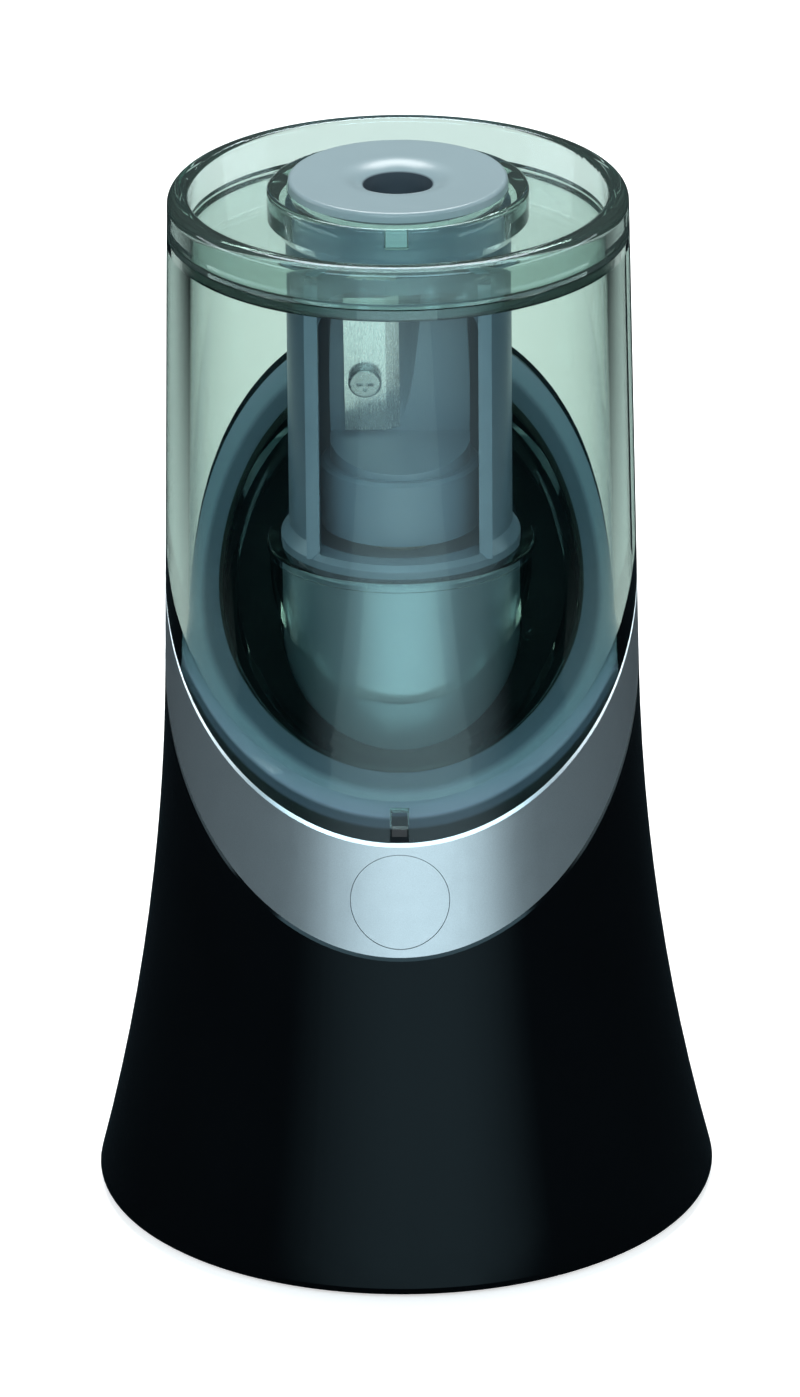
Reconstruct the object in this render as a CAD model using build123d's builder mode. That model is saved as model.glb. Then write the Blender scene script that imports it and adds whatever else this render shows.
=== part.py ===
from build123d import *
import os
from math import acos, cos, pi, radians, sin, sqrt, tan

os.makedirs("parts", exist_ok=True)

# A desk pencil sharpener: a black bell-shaped base cut off at a slant, a silver trim ring on the
# slant, a thick smoke-clear shavings receptacle with a lid, and a cutter on the upright axis.
# Millimetres. The origin is on the desk under the axis, +Z is up and the front faces -Y.

# Outer bell: a straight taper from the rim to the waist, then one arc that flares to the foot
BASE_RADIUS = 54.4
BASE_LIFT = 1.0
WAIST_RADIUS = 41.0
WAIST_HEIGHT = 96.6
RIM_RADIUS = 39.2
RIM_HEIGHT = 183.6
HOUSING_WALL = 2.5
HOUSING_EDGE = 0.7
FOOT_ROUND = 1.2

# Slanted silver ring: heights are on the axis, tilts in degrees, low at the front
BAND_TOP_HEIGHT = 114.6
BAND_TOP_TILT = 39.4
BAND_DEPTH = 14.7
BAND_FOOT_TILT = 42.5
RING_FACE = 6.5
RING_EDGE = 0.45
RING_LIP_WALL = 1.3
RING_LIP_DEPTH = 4.0
RING_LIP_CLEARANCE = 0.2
OPENING_RADIUS = 30.8
BADGE_RADIUS = 8.4
BADGE_DROP = 44.5
BADGE_THICKNESS = 1.2
BADGE_SINK = 0.05
BADGE_CLEARANCE = 0.12
NIB_WIDTH = 2.6
NIB_HEIGHT = 1.8
NIB_DEPTH = 2.2
NIB_CLEARANCE = 0.3
NIB_SETBACK = 1.2

# Black deck that closes the base under the ring
DECK_LAP = 3.4
DECK_THICKNESS = 2.5
DECK_CLEARANCE = 0.3
DECK_SCREW_ANGLES = (0.0, 180.0, 270.0)

# Shavings receptacle
RECEPTACLE_WALL = 4.0
RECEPTACLE_FLOOR = 2.2
SEAT_GAP = 0.25
CHIMNEY_CLEARANCE = 0.5
CHIMNEY_WALL = 1.7
CHIMNEY_RISE = 0.9
CHIMNEY_BEAD = 0.4
CHIMNEY_BEAD_HEIGHT = 1.6
SPIGOT_CLEARANCE = 0.4
SPIGOT_WALL = 2.0
SPIGOT_DEPTH = 2.5

# Lid
LID_RIM_DEPTH = 7.2
LID_WALL = 3.6
LID_PLATE = 2.4
LID_GAP = 0.2
LID_OUTER_ROUND = 2.0
LID_INNER_ROUND = 1.0
REBATE_WALL = 2.2
REBATE_CLEARANCE = 0.2

# Collar in the middle of the lid
COLLAR_BORE = 18.2
COLLAR_RADIUS = 22.3
COLLAR_STEP = 2.1
COLLAR_CHAMFER_HEIGHT = 2.4
COLLAR_RISE = 0.8
COLLAR_ROUND = 0.8

# Cutter sleeve, grey, with a rib down each side of its window
SLEEVE_RADIUS = 19.2
SLEEVE_WALL = 2.6
SLEEVE_FOOT_LAP = 0.2
SLEEVE_FOOT_HEIGHT = 1.8
SLEEVE_FOOT_ROUND = 0.4
SLEEVE_FOOT_GAP = 0.3
SLEEVE_FOOT_SLOPE = 2.0
SLEEVE_NECK_CLEARANCE = 0.2
RIB_WIDTH = 2.2
RIB_FACE = 14.4
WINDOW_WIDTH = 26.8
WINDOW_SILL = 1.0
WINDOW_LINTEL = 4.0
WINDOW_ROUND = 7.0

# Pencil guide
GUIDE_RADIUS = 18.7
GUIDE_RISE = 2.4
GUIDE_SEAT_DEPTH = 1.3
GUIDE_CLEARANCE = 0.2
GUIDE_ROUND = 0.7
GUIDE_SKIRT_WALL = 1.8
GUIDE_SKIRT_DEPTH = 7.0
FUNNEL_RADIUS = 10.0
FUNNEL_DEPTH = 1.5
PENCIL_HOLE_RADIUS = 5.9
GUIDE_TUBE_WALL = 2.3
GUIDE_TUBE_GAP = 1.6
KEY_WIDTH = 3.4
KEY_HEIGHT = 2.8
KEY_REACH = 2.0
KEY_CLEARANCE = 0.2

# Grey drive tower
TOWER_RADIUS = 20.4
TOWER_WALL = 2.2
TOWER_ROOF = 3.0
TOWER_ROUND = 0.8
TOWER_FLANGE_LAP = 3.6
TOWER_FLANGE = 2.0
TOWER_SCREW_COUNT = 3
TOWER_SCREW_START = 30.0
BUSH_BOSS_WALL = 3.0
BUSH_BOSS_SHARE = 8 / 27

# Cutter
START_TRAVEL = 1.5
HEAD_DROP = 9.1
HUB_RADIUS = 13.7
HUB_LIFT = 4.0
HUB_HEIGHT = 11.4
HUB_SOCKET = 12.2
HUB_SOCKET_DEPTH = 5.0
SOCKET_CLEARANCE = 0.1
HUB_EDGE = 0.6
HEAD_RADIUS = 12.0
HEAD_HEIGHT = 29.5
HEAD_LEDGE = 4.0
CONE_MOUTH_RADIUS = 5.6
CONE_HALF_ANGLE = 12.0
CONE_CUT = 1.6
BLADE_WIDTH = 9.4
BLADE_BEVEL = 2.3
BLADE_THICKNESS = 0.9
BLADE_MARGIN = 0.8
BLADE_SCREW_HEAD_RADIUS = 2.85
BLADE_SCREW_HEAD = 1.6
BLADE_SCREW_RADIUS = 1.2
BLADE_SCREW_GRIP = 4.5
BLADE_SCREW_DROP = 2.0

# Spindle, bushes and start mechanism
SPINDLE_RADIUS = 2.5
RUNNING_CLEARANCE = 0.06
BUSH_WALL = 2.0
BUSH_FLANGE = 0.9
BUSH_FLANGE_LAP = 1.0
PRESS_CLEARANCE = 0.03
DRIVE_PIN_RADIUS = 1.0
DRIVE_PIN_RISE = 3.2
DRIVE_PIN_SINK = 0.5
CLIP_THICKNESS = 0.8
CLIP_RADIUS = 4.8
CLIP_GROOVE = 0.4
CLIP_GAP = 0.05
YOKE_RADIUS = 7.0
YOKE_THICKNESS = 2.5
YOKE_ARM_WIDTH = 5.0
SPRING_LENGTH = 8.0
SPRING_WIRE = 0.35
SPRING_RADIUS = 3.6
SPRING_TURNS = 4
ARCS_PER_TURN = 4
SWITCH_OFFSET = 11.5
SWITCH_WIDTH = 8.0
SWITCH_DEPTH = 6.0
SWITCH_HEIGHT = 6.5
BUTTON_RADIUS = 1.0
BUTTON_STEM = 2.2
BUTTON_CLEARANCE = 0.1

# Gear train: stub-tooth involute spur gears
GEAR_MODULE = 0.7
PRESSURE_ANGLE = radians(20.0)
ADDENDUM = 0.8
DEDENDUM = 1.0
BACKLASH = 0.12
FLANK_STEPS = 4
MOTOR_PINION_TEETH = 14
WHEEL_TEETH = 42
IDLER_PINION_TEETH = 16
WHEEL_FACE = 4.5
MOTOR_PINION_FACE = 5.5
SPINDLE_GEAR_FACE = 5.0
GEAR_GAP = 0.8
SPINDLE_TAIL = 0.3
AXLE_RADIUS = 1.5
AXLE_BOSS = 4.0
IDLER_HUB_RADIUS = 3.2

# Motor and its frame
MOTOR_RADIUS = 13.85
MOTOR_CLEARANCE = 4.0
MOTOR_WALL = 1.0
MOTOR_BOSS_RADIUS = 5.0
MOTOR_BOSS_HEIGHT = 1.5
MOTOR_BOSS_CLEARANCE = 0.2
MOTOR_SHAFT_RADIUS = 1.15
MOTOR_SCREW_OFFSET = 8.0
END_CAP = 2.0
END_BEARING_RADIUS = 4.0
END_BEARING_HEIGHT = 1.6
MAGNET_THICKNESS = 2.2
MAGNET_SPLIT = 9.0
MAGNET_MARGIN = 11.0
ARMATURE_GAP = 0.5
ARMATURE_MARGIN = 3.0
ARMATURE_SLOTS = 3
ARMATURE_SLOT_WIDTH = 2.0
ARMATURE_CORE = 4.0
COMMUTATOR_RADIUS = 2.8
COMMUTATOR_LENGTH = 4.0
TERMINAL_WIDTH = 2.4
TERMINAL_THICKNESS = 0.5
TERMINAL_LENGTH = 3.2
TERMINAL_OFFSET = 10.0
FRAME_DECK = 2.8
POST_RADIUS = 4.0
POST_MARGIN = 1.2
REAR_POST_X = 27.0
REAR_POST_Y = 15.0
FRONT_POST_X = 22.0
FRONT_POST_Y = -18.0
COVER_DROP = 38.6
COVER_THICKNESS = 3.0
COVER_GAP = 0.5

# Base plate, battery bay, door and feet
PLATE_LIFT = 2.2
PLATE_THICKNESS = 2.5
PLATE_CLEARANCE = 0.3
CELL_RADIUS = 7.1
CELL_LENGTH = 49.5
CELL_NUB_RADIUS = 2.75
CELL_NUB = 1.0
CELL_PITCH = 14.8
CELL_COUNT = 4
CELL_CLEARANCE = 0.6
CONTACT_SPRING_LENGTH = 4.0
CONTACT_SPRING_RADIUS = 3.6
CONTACT_SPRING_TURNS = 2
CONTACT_PLATE = 0.5
CONTACT_PLATE_WIDTH = 11.0
BAY_WALL = 3.2
BAY_ROOF = 2.4
DOOR_THICKNESS = 1.8
DOOR_LAP = 1.5
DOOR_CLEARANCE = 0.3
TRUNNION_RADIUS = 0.7
TRUNNION_LENGTH = 1.5
GRIP_COUNT = 3
GRIP_LENGTH = 16.0
GRIP_WIDTH = 1.0
GRIP_DEPTH = 0.5
GRIP_PITCH = 2.5
GRIP_MARGIN = 5.0
FOOT_RADIUS = 5.5
FOOT_RECESS = 0.8
FOOT_CIRCLE = 40.5
FOOT_COUNT = 4
SCREW_BOSS_CIRCLE = 44.0
SCREW_BOSS_WIDTH = 6.4
SCREW_BOSS_LENGTH = 7.0
SCREW_BOSS_HEIGHT = 11.0
SCREW_BOSS_ANGLE = 25.0

# Screws shared by the frame, covers and base
SCREW_RADIUS = 1.2
SCREW_HEAD_RADIUS = 2.4
SCREW_HEAD = 1.4
SCREW_GRIP = 8.0
SCREW_CLEARANCE = 0.1
SMALL_SCREW_RADIUS = 0.9
SMALL_SCREW_HEAD_RADIUS = 1.6
SMALL_SCREW_HEAD = 1.0
SMALL_SCREW_GRIP = 2.5
SCREW_HEAD_ROUND = 0.3
DRIVE_CROSS = 0.6
DRIVE_CROSS_DEPTH = 0.5

# Interlock under the receptacle at the back
INTERLOCK_Y = 32.3
INTERLOCK_PIN_RADIUS = 1.0
INTERLOCK_PIN_CLEARANCE = 0.15
INTERLOCK_TRAVEL = 1.0
INTERLOCK_WIDTH = 9.8
INTERLOCK_DEPTH = 3.8
INTERLOCK_HEIGHT = 6.5
INTERLOCK_DROP = 3.0
POCKET_WALL = 1.2
POCKET_BACK = 0.9
POCKET_MOUTH = 1.2
POCKET_CLEARANCE = 0.1
POCKET_FLOOR = 2.0

# Heights of the battery bay, from the desk up
plate_top = PLATE_LIFT + PLATE_THICKNESS
cell_height = plate_top + CELL_CLEARANCE + CELL_RADIUS
bay_top = cell_height + CELL_RADIUS + CELL_CLEARANCE
roof_top = bay_top + BAY_ROOF

# Heights of the gear train and motor, from the slanted band down
band_foot_height = BAND_TOP_HEIGHT - BAND_DEPTH
badge_height = BAND_TOP_HEIGHT - BADGE_DROP
cover_top = BAND_TOP_HEIGHT - COVER_DROP
cover_under = cover_top - COVER_THICKNESS
spindle_gear_top = cover_under - COVER_GAP
spindle_gear_bottom = spindle_gear_top - SPINDLE_GEAR_FACE
spindle_bottom = spindle_gear_bottom - SPINDLE_TAIL
gear_stack = max(WHEEL_FACE, MOTOR_PINION_FACE)
wheel_bottom = spindle_bottom - START_TRAVEL - GEAR_GAP - gear_stack
wheel_top = wheel_bottom + WHEEL_FACE
pinion_top = wheel_bottom + MOTOR_PINION_FACE
deck_top_z = wheel_bottom - GEAR_GAP
deck_under_z = deck_top_z - FRAME_DECK
frame_leg_height = deck_under_z - roof_top
motor_length = frame_leg_height - MOTOR_CLEARANCE
motor_bottom = deck_under_z - motor_length
magnet_length = motor_length - MAGNET_MARGIN
armature_length = magnet_length - ARMATURE_MARGIN

# Heights of the lid, pencil guide, cutter and tower, from the rim down
seam = RIM_HEIGHT - LID_RIM_DEPTH
lid_plate_top = seam + LID_GAP
lid_plate_under = lid_plate_top - LID_PLATE
collar_top = RIM_HEIGHT + COLLAR_RISE
guide_top = RIM_HEIGHT + GUIDE_RISE
guide_seat = collar_top - GUIDE_SEAT_DEPTH
head_top = lid_plate_under - HEAD_DROP
guide_tube_bottom = head_top + GUIDE_TUBE_GAP
hub_top = head_top - HEAD_HEIGHT
socket_floor = hub_top - HUB_SOCKET_DEPTH
hub_bottom = hub_top - HUB_HEIGHT
tower_top = hub_bottom - HUB_LIFT
tower_roof_under = tower_top - TOWER_ROOF
chimney_top = tower_top + CHIMNEY_RISE

# Heights of the start mechanism, from the gear cover up
lower_bush_top = cover_top + BUSH_FLANGE
switch_top = cover_top + SWITCH_HEIGHT
yoke_bottom = lower_bush_top + SPRING_LENGTH
yoke_top = yoke_bottom + YOKE_THICKNESS
clip_bottom = yoke_top + CLIP_GAP
bush_boss_depth = (tower_roof_under - clip_bottom - CLIP_THICKNESS) * BUSH_BOSS_SHARE

# Radii and places that follow from one another
ring_wall = HOUSING_WALL + RING_LIP_CLEARANCE + RING_LIP_WALL
spindle_gear_teeth = MOTOR_PINION_TEETH + WHEEL_TEETH - IDLER_PINION_TEETH
chimney_inner = TOWER_RADIUS + CHIMNEY_CLEARANCE
chimney_outer = chimney_inner + CHIMNEY_WALL
sleeve_foot_radius = TOWER_RADIUS + SLEEVE_FOOT_LAP
sleeve_bore = SLEEVE_RADIUS - SLEEVE_WALL
sleeve_neck = COLLAR_BORE - SLEEVE_NECK_CLEARANCE
guide_seat_radius = GUIDE_RADIUS + GUIDE_CLEARANCE
deck_radius = OPENING_RADIUS + DECK_LAP
bush_bore = SPINDLE_RADIUS + RUNNING_CLEARANCE
bush_radius = bush_bore + BUSH_WALL
bush_flange_radius = bush_radius + BUSH_FLANGE_LAP
gear_centre_distance = GEAR_MODULE * (MOTOR_PINION_TEETH + WHEEL_TEETH) / 2
posts = [
    (REAR_POST_X, REAR_POST_Y),
    (-REAR_POST_X, REAR_POST_Y),
    (FRONT_POST_X, FRONT_POST_Y),
    (-FRONT_POST_X, FRONT_POST_Y),
]
bay_width = CELL_COUNT * CELL_PITCH
cell_span = CELL_LENGTH + CELL_NUB + CONTACT_SPRING_LENGTH
bay_length = cell_span + 2 * CONTACT_PLATE
base_screw_angles = [
    SCREW_BOSS_ANGLE,
    180 - SCREW_BOSS_ANGLE,
    180 + SCREW_BOSS_ANGLE,
    -SCREW_BOSS_ANGLE,
]
base_screw_places = [
    (SCREW_BOSS_CIRCLE * cos(radians(angle)), SCREW_BOSS_CIRCLE * sin(radians(angle)))
    for angle in base_screw_angles
]
tower_screw_circle = TOWER_RADIUS + TOWER_FLANGE_LAP / 2


def slanted_plane(axis_height, tilt, rise=0.0):
    """Plane through the axis at axis_height, low at the front, moved by rise along its normal."""
    normal = Vector(0, -sin(radians(tilt)), cos(radians(tilt)))
    return Plane(
        origin=Vector(0, 0, axis_height) + normal * rise, x_dir=(1, 0, 0), z_dir=normal
    )


def bell_radius(height):
    """Outer radius of the bell at a height, on its taper or on its flare."""
    if height >= WAIST_HEIGHT:
        share = (RIM_HEIGHT - height) / (RIM_HEIGHT - WAIST_HEIGHT)
        return RIM_RADIUS + (WAIST_RADIUS - RIM_RADIUS) * share
    taper = Vector(WAIST_RADIUS - RIM_RADIUS, WAIST_HEIGHT - RIM_HEIGHT, 0).normalized()
    outward = Vector(-taper.Y, taper.X, 0)
    reach = Vector(BASE_RADIUS - WAIST_RADIUS, BASE_LIFT - WAIST_HEIGHT, 0)
    flare = reach.length**2 / (2 * reach.dot(outward))
    centre_radius = WAIST_RADIUS + outward.X * flare
    centre_height = WAIST_HEIGHT + outward.Y * flare
    return centre_radius - sqrt(flare**2 - (height - centre_height) ** 2)


def wall_section(outer_inset, inner_inset):
    """Half section of the bell's wall between two depths under its outer surface."""
    with BuildSketch(Plane.XZ) as section:
        with BuildLine():
            for inset in (outer_inset, inner_inset):
                taper = Line((RIM_RADIUS - inset, RIM_HEIGHT), (WAIST_RADIUS - inset, WAIST_HEIGHT))
                TangentArc(taper @ 1, (BASE_RADIUS - inset, BASE_LIFT), tangent=taper % 1)
            Line((RIM_RADIUS - outer_inset, RIM_HEIGHT), (RIM_RADIUS - inner_inset, RIM_HEIGHT))
            Line((BASE_RADIUS - outer_inset, BASE_LIFT), (BASE_RADIUS - inner_inset, BASE_LIFT))
        make_face()
    return section.sketch


def solid_section(inset):
    """Half section of the whole bell, from the axis to a depth under its outer surface."""
    with BuildSketch(Plane.XZ) as section:
        with BuildLine():
            taper = Line((RIM_RADIUS - inset, RIM_HEIGHT), (WAIST_RADIUS - inset, WAIST_HEIGHT))
            flare = TangentArc(taper @ 1, (BASE_RADIUS - inset, BASE_LIFT), tangent=taper % 1)
            Polyline(flare @ 1, (0, BASE_LIFT), (0, RIM_HEIGHT), taper @ 0)
        make_face()
    return section.sketch


def gear_points(teeth, tooth_angle):
    """Corner points of a spur gear with one tooth centred on tooth_angle, in degrees."""
    pitch_radius = GEAR_MODULE * teeth / 2
    base_radius = pitch_radius * cos(PRESSURE_ANGLE)
    tip_radius = pitch_radius + ADDENDUM * GEAR_MODULE
    root_radius = pitch_radius - DEDENDUM * GEAR_MODULE
    flank_start = max(base_radius, root_radius)
    half_tooth = pi / (2 * teeth) - BACKLASH / (2 * pitch_radius)
    pitch_involute = tan(PRESSURE_ANGLE) - PRESSURE_ANGLE
    flank = []
    for step in range(FLANK_STEPS + 1):
        radius = flank_start + (tip_radius - flank_start) * step / FLANK_STEPS
        roll = acos(min(1.0, base_radius / radius))
        flank.append((radius, half_tooth + pitch_involute - (tan(roll) - roll)))
    if root_radius < flank_start:
        flank.insert(0, (root_radius, flank[0][1]))
    points = []
    for tooth in range(teeth):
        centre = radians(tooth_angle) + 2 * pi * tooth / teeth
        rising = [(radius, centre - half) for radius, half in flank]
        falling = [(radius, centre + half) for radius, half in reversed(flank)]
        points += [(radius * cos(turn), radius * sin(turn)) for radius, turn in rising + falling]
    return points


def coil(radius, length, turns, wire):
    """Spring of round wire that stands on the XY plane, one tube swept along quarter turns."""
    steps_per_turn = 2 * ARCS_PER_TURN
    rise = (length - 2 * wire) / (steps_per_turn * turns)
    step_angle = 2 * pi / steps_per_turn
    points = [
        Vector(radius * cos(step * step_angle), radius * sin(step * step_angle), wire + step * rise)
        for step in range(steps_per_turn * turns + 1)
    ]
    with BuildPart() as spring:
        with BuildLine() as path:
            for step in range(0, len(points) - 1, 2):
                ThreePointArc(points[step], points[step + 1], points[step + 2])
        with BuildSketch(Plane(origin=path.line @ 0, z_dir=path.line % 0)):
            Circle(wire)
        sweep(path=path.line)
    least_distance = min(
        (later - earlier).length
        for place, earlier in enumerate(points)
        for later in points[place + ARCS_PER_TURN :]
    )
    print("coil: least gap between turns", round(least_distance - 2 * wire, 3))
    return spring.part


def screw(radius, head_radius, head, grip):
    """Cross-slot screw: the head's seat is at the origin and the shank points down."""
    with BuildPart() as fastener:
        with BuildSketch():
            Circle(head_radius)
        extrude(amount=head)
        with BuildSketch():
            Circle(radius)
        extrude(amount=-grip)
        fillet(fastener.edges().group_by(Axis.Z)[-1], head * SCREW_HEAD_ROUND)
        with BuildSketch(Plane.XY.offset(head)):
            Rectangle(head_radius, DRIVE_CROSS)
            Rectangle(DRIVE_CROSS, head_radius)
        extrude(amount=-DRIVE_CROSS_DEPTH, mode=Mode.SUBTRACT)
    return fastener.part


band_top = slanted_plane(BAND_TOP_HEIGHT, BAND_TOP_TILT)
band_foot = slanted_plane(band_foot_height, BAND_FOOT_TILT)
ring_under = slanted_plane(BAND_TOP_HEIGHT, BAND_TOP_TILT, -RING_FACE)
deck_under = slanted_plane(BAND_TOP_HEIGHT, BAND_TOP_TILT, -RING_FACE - DECK_THICKNESS)
seat = slanted_plane(BAND_TOP_HEIGHT, BAND_TOP_TILT, SEAT_GAP)
floor_top = slanted_plane(BAND_TOP_HEIGHT, BAND_TOP_TILT, SEAT_GAP + RECEPTACLE_FLOOR)
spigot_end = slanted_plane(BAND_TOP_HEIGHT, BAND_TOP_TILT, SEAT_GAP - SPIGOT_DEPTH)
nib_top = slanted_plane(BAND_TOP_HEIGHT, BAND_TOP_TILT, NIB_HEIGHT)
notch_top = slanted_plane(BAND_TOP_HEIGHT, BAND_TOP_TILT, NIB_HEIGHT + NIB_CLEARANCE)
pin_top = slanted_plane(BAND_TOP_HEIGHT, BAND_TOP_TILT, SEAT_GAP / 2)
slant = cos(radians(BAND_TOP_TILT))
interlock_face = BAND_TOP_HEIGHT + INTERLOCK_Y * tan(radians(BAND_TOP_TILT))
interlock_switch_top = interlock_face - (RING_FACE + DECK_THICKNESS) / slant - INTERLOCK_DROP
interlock_switch_bottom = interlock_switch_top - INTERLOCK_HEIGHT

# Base housing: the black bell shell with four screw bosses inside its foot
boss_inner = SCREW_BOSS_CIRCLE - SCREW_BOSS_LENGTH / 2
with BuildPart() as housing_bosses:
    for angle in base_screw_angles:
        with BuildSketch(Plane.XY.offset(plate_top).rotated((0, 0, angle))):
            with Locations((boss_inner, 0)):
                Rectangle(
                    BASE_RADIUS - boss_inner, SCREW_BOSS_WIDTH, align=(Align.MIN, Align.CENTER)
                )
        extrude(amount=SCREW_BOSS_HEIGHT)
    revolve(solid_section(HOUSING_WALL / 2), axis=Axis.Z, mode=Mode.INTERSECT)

with BuildPart() as base_housing:
    revolve(wall_section(0, HOUSING_WALL), axis=Axis.Z)
    split(bisect_by=band_foot, keep=Keep.BOTTOM)
    foot_edges = base_housing.edges().filter_by(GeomType.CIRCLE).group_by(Axis.Z)[0]
    fillet(foot_edges.sort_by(SortBy.RADIUS)[-1], FOOT_ROUND)
    top_edges = base_housing.faces().filter_by(GeomType.PLANE).sort_by(Axis.Z)[-1].edges()
    chamfer(top_edges.sort_by(SortBy.LENGTH)[-1], HOUSING_EDGE)
    add(housing_bosses.part)
    with BuildSketch(Plane.XY.offset(plate_top)):
        with Locations(*base_screw_places):
            Circle(SCREW_RADIUS + SCREW_CLEARANCE)
    extrude(amount=SCREW_GRIP, mode=Mode.SUBTRACT)
base_housing.part.label = "base_housing"
export_step(base_housing.part, "parts/base_housing.step")

# Base plate: a round plate that carries the battery bay, open below
door_width = bay_width + 2 * DOOR_LAP
door_length = bay_length + 2 * DOOR_LAP
door_hinge_y = door_length / 2 - DOOR_THICKNESS / 2
door_hinge_z = PLATE_LIFT + DOOR_THICKNESS / 2
plate_radius = bell_radius(plate_top) - HOUSING_WALL - PLATE_CLEARANCE
with BuildPart() as base_plate:
    with BuildSketch(Plane.XY.offset(PLATE_LIFT)):
        Circle(plate_radius)
    extrude(amount=PLATE_THICKNESS)
    with BuildSketch(Plane.XY.offset(PLATE_LIFT)):
        RectangleRounded(bay_width + 2 * BAY_WALL, bay_length + 2 * BAY_WALL, BAY_WALL)
    extrude(amount=roof_top - PLATE_LIFT)
    with BuildSketch(Plane.XY.offset(PLATE_LIFT)):
        Rectangle(bay_width, bay_length)
    extrude(amount=bay_top - PLATE_LIFT, mode=Mode.SUBTRACT)
    with BuildSketch(Plane.XY.offset(PLATE_LIFT)):
        Rectangle(door_width + 2 * DOOR_CLEARANCE, door_length + 2 * DOOR_CLEARANCE)
    extrude(amount=DOOR_THICKNESS + DOOR_CLEARANCE, mode=Mode.SUBTRACT)
    with BuildSketch(Plane.YZ):
        with Locations((door_hinge_y, door_hinge_z)):
            Circle(TRUNNION_RADIUS + RUNNING_CLEARANCE)
    extrude(amount=door_width / 2 + TRUNNION_LENGTH + DOOR_CLEARANCE, both=True, mode=Mode.SUBTRACT)
    with BuildSketch(Plane.XY.offset(PLATE_LIFT)):
        with PolarLocations(FOOT_CIRCLE, FOOT_COUNT):
            Circle(FOOT_RADIUS + SCREW_CLEARANCE)
    extrude(amount=FOOT_RECESS, mode=Mode.SUBTRACT)
    with BuildSketch(Plane.XY.offset(PLATE_LIFT)):
        with Locations(*base_screw_places):
            Circle(SCREW_RADIUS + SCREW_CLEARANCE)
    extrude(amount=PLATE_THICKNESS, mode=Mode.SUBTRACT)
    with BuildSketch(Plane.XY.offset(bay_top)):
        with Locations(*posts):
            Circle(SCREW_RADIUS + SCREW_CLEARANCE)
    extrude(amount=BAY_ROOF, mode=Mode.SUBTRACT)
    with BuildSketch(Plane.XY.offset(bay_top)):
        with Locations(*posts):
            Circle(SCREW_HEAD_RADIUS + SCREW_CLEARANCE)
    extrude(amount=SCREW_HEAD, mode=Mode.SUBTRACT)
base_plate.part.label = "base_plate"
export_step(base_plate.part, "parts/base_plate.step")

# Four soft feet in recesses of the base plate
with BuildPart() as rubber_feet:
    with BuildSketch():
        with PolarLocations(FOOT_CIRCLE, FOOT_COUNT):
            Circle(FOOT_RADIUS)
    extrude(amount=PLATE_LIFT + FOOT_RECESS)
    chamfer(rubber_feet.edges().group_by(Axis.Z)[0], FOOT_RECESS / 2)
rubber_feet.part.label = "rubber_feet"
export_step(rubber_feet.part, "parts/rubber_feet.step")

# Four screws up through the base plate into the housing's bosses
base_screw = screw(
    SCREW_RADIUS, SCREW_HEAD_RADIUS, SCREW_HEAD, PLATE_THICKNESS + SCREW_GRIP - SCREW_CLEARANCE
)
with BuildPart() as base_screws:
    with Locations(*[(x, y, PLATE_LIFT) for x, y in base_screw_places]):
        add(base_screw, rotation=(180, 0, 0))
base_screws.part.label = "base_screws"
export_step(base_screws.part, "parts/base_screws.step")

# Battery door: it swings down on two trunnions at its rear edge
with BuildPart() as battery_door:
    with BuildSketch(Plane.YZ):
        with Locations((door_hinge_y, door_hinge_z)):
            Rectangle(
                door_length - DOOR_THICKNESS / 2, DOOR_THICKNESS, align=(Align.MAX, Align.CENTER)
            )
            Circle(DOOR_THICKNESS / 2)
    extrude(amount=door_width / 2, both=True)
    with BuildSketch(Plane.YZ):
        with Locations((door_hinge_y, door_hinge_z)):
            Circle(TRUNNION_RADIUS)
    extrude(amount=door_width / 2 + TRUNNION_LENGTH, both=True)
    with BuildSketch(Plane.XY.offset(PLATE_LIFT)):
        for row in range(GRIP_COUNT):
            with Locations((0, GRIP_MARGIN + row * GRIP_PITCH - door_length / 2)):
                Rectangle(GRIP_LENGTH, GRIP_WIDTH)
    extrude(amount=GRIP_DEPTH, mode=Mode.SUBTRACT)
battery_door.part.label = "battery_door"
export_step(battery_door.part, "parts/battery_door.step")

# Battery cells lie side by side along Y, turned end for end by turns
cell_seats = []
for index in range(CELL_COUNT):
    facing = 1 if index % 2 == 0 else -1
    cell_x = (index - (CELL_COUNT - 1) / 2) * CELL_PITCH
    cell_end = Vector(cell_x, -facing * bay_length / 2, cell_height)
    cell_seats.append(Plane(origin=cell_end, x_dir=(1, 0, 0), z_dir=(0, facing, 0)))

cell_start = CONTACT_PLATE + CONTACT_SPRING_LENGTH
with BuildPart() as battery_cells:
    for cell_seat in cell_seats:
        with BuildSketch(cell_seat.offset(cell_start)):
            Circle(CELL_RADIUS)
        extrude(amount=CELL_LENGTH)
        with BuildSketch(cell_seat.offset(cell_start)):
            Circle(CELL_NUB_RADIUS)
        extrude(amount=CELL_LENGTH + CELL_NUB)
battery_cells.part.label = "battery_cells"
export_step(battery_cells.part, "parts/battery_cells.step")

# Contact plates at both ends of each cell
with BuildPart() as contact_plates:
    for cell_seat in cell_seats:
        with BuildSketch(cell_seat, cell_seat.offset(bay_length - CONTACT_PLATE)):
            Rectangle(CONTACT_PLATE_WIDTH, CONTACT_PLATE_WIDTH)
        extrude(amount=CONTACT_PLATE)
contact_plates.part.label = "contact_plates"
export_step(contact_plates.part, "parts/contact_plates.step")

# A contact spring at the flat end of each cell
contact_spring = coil(
    CONTACT_SPRING_RADIUS, CONTACT_SPRING_LENGTH, CONTACT_SPRING_TURNS, SPRING_WIRE
)
with BuildPart() as contact_springs:
    with Locations(*[cell_seat.offset(CONTACT_PLATE) for cell_seat in cell_seats]):
        add(contact_spring)
contact_springs.part.label = "contact_springs"
export_step(contact_springs.part, "parts/contact_springs.step")

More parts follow.
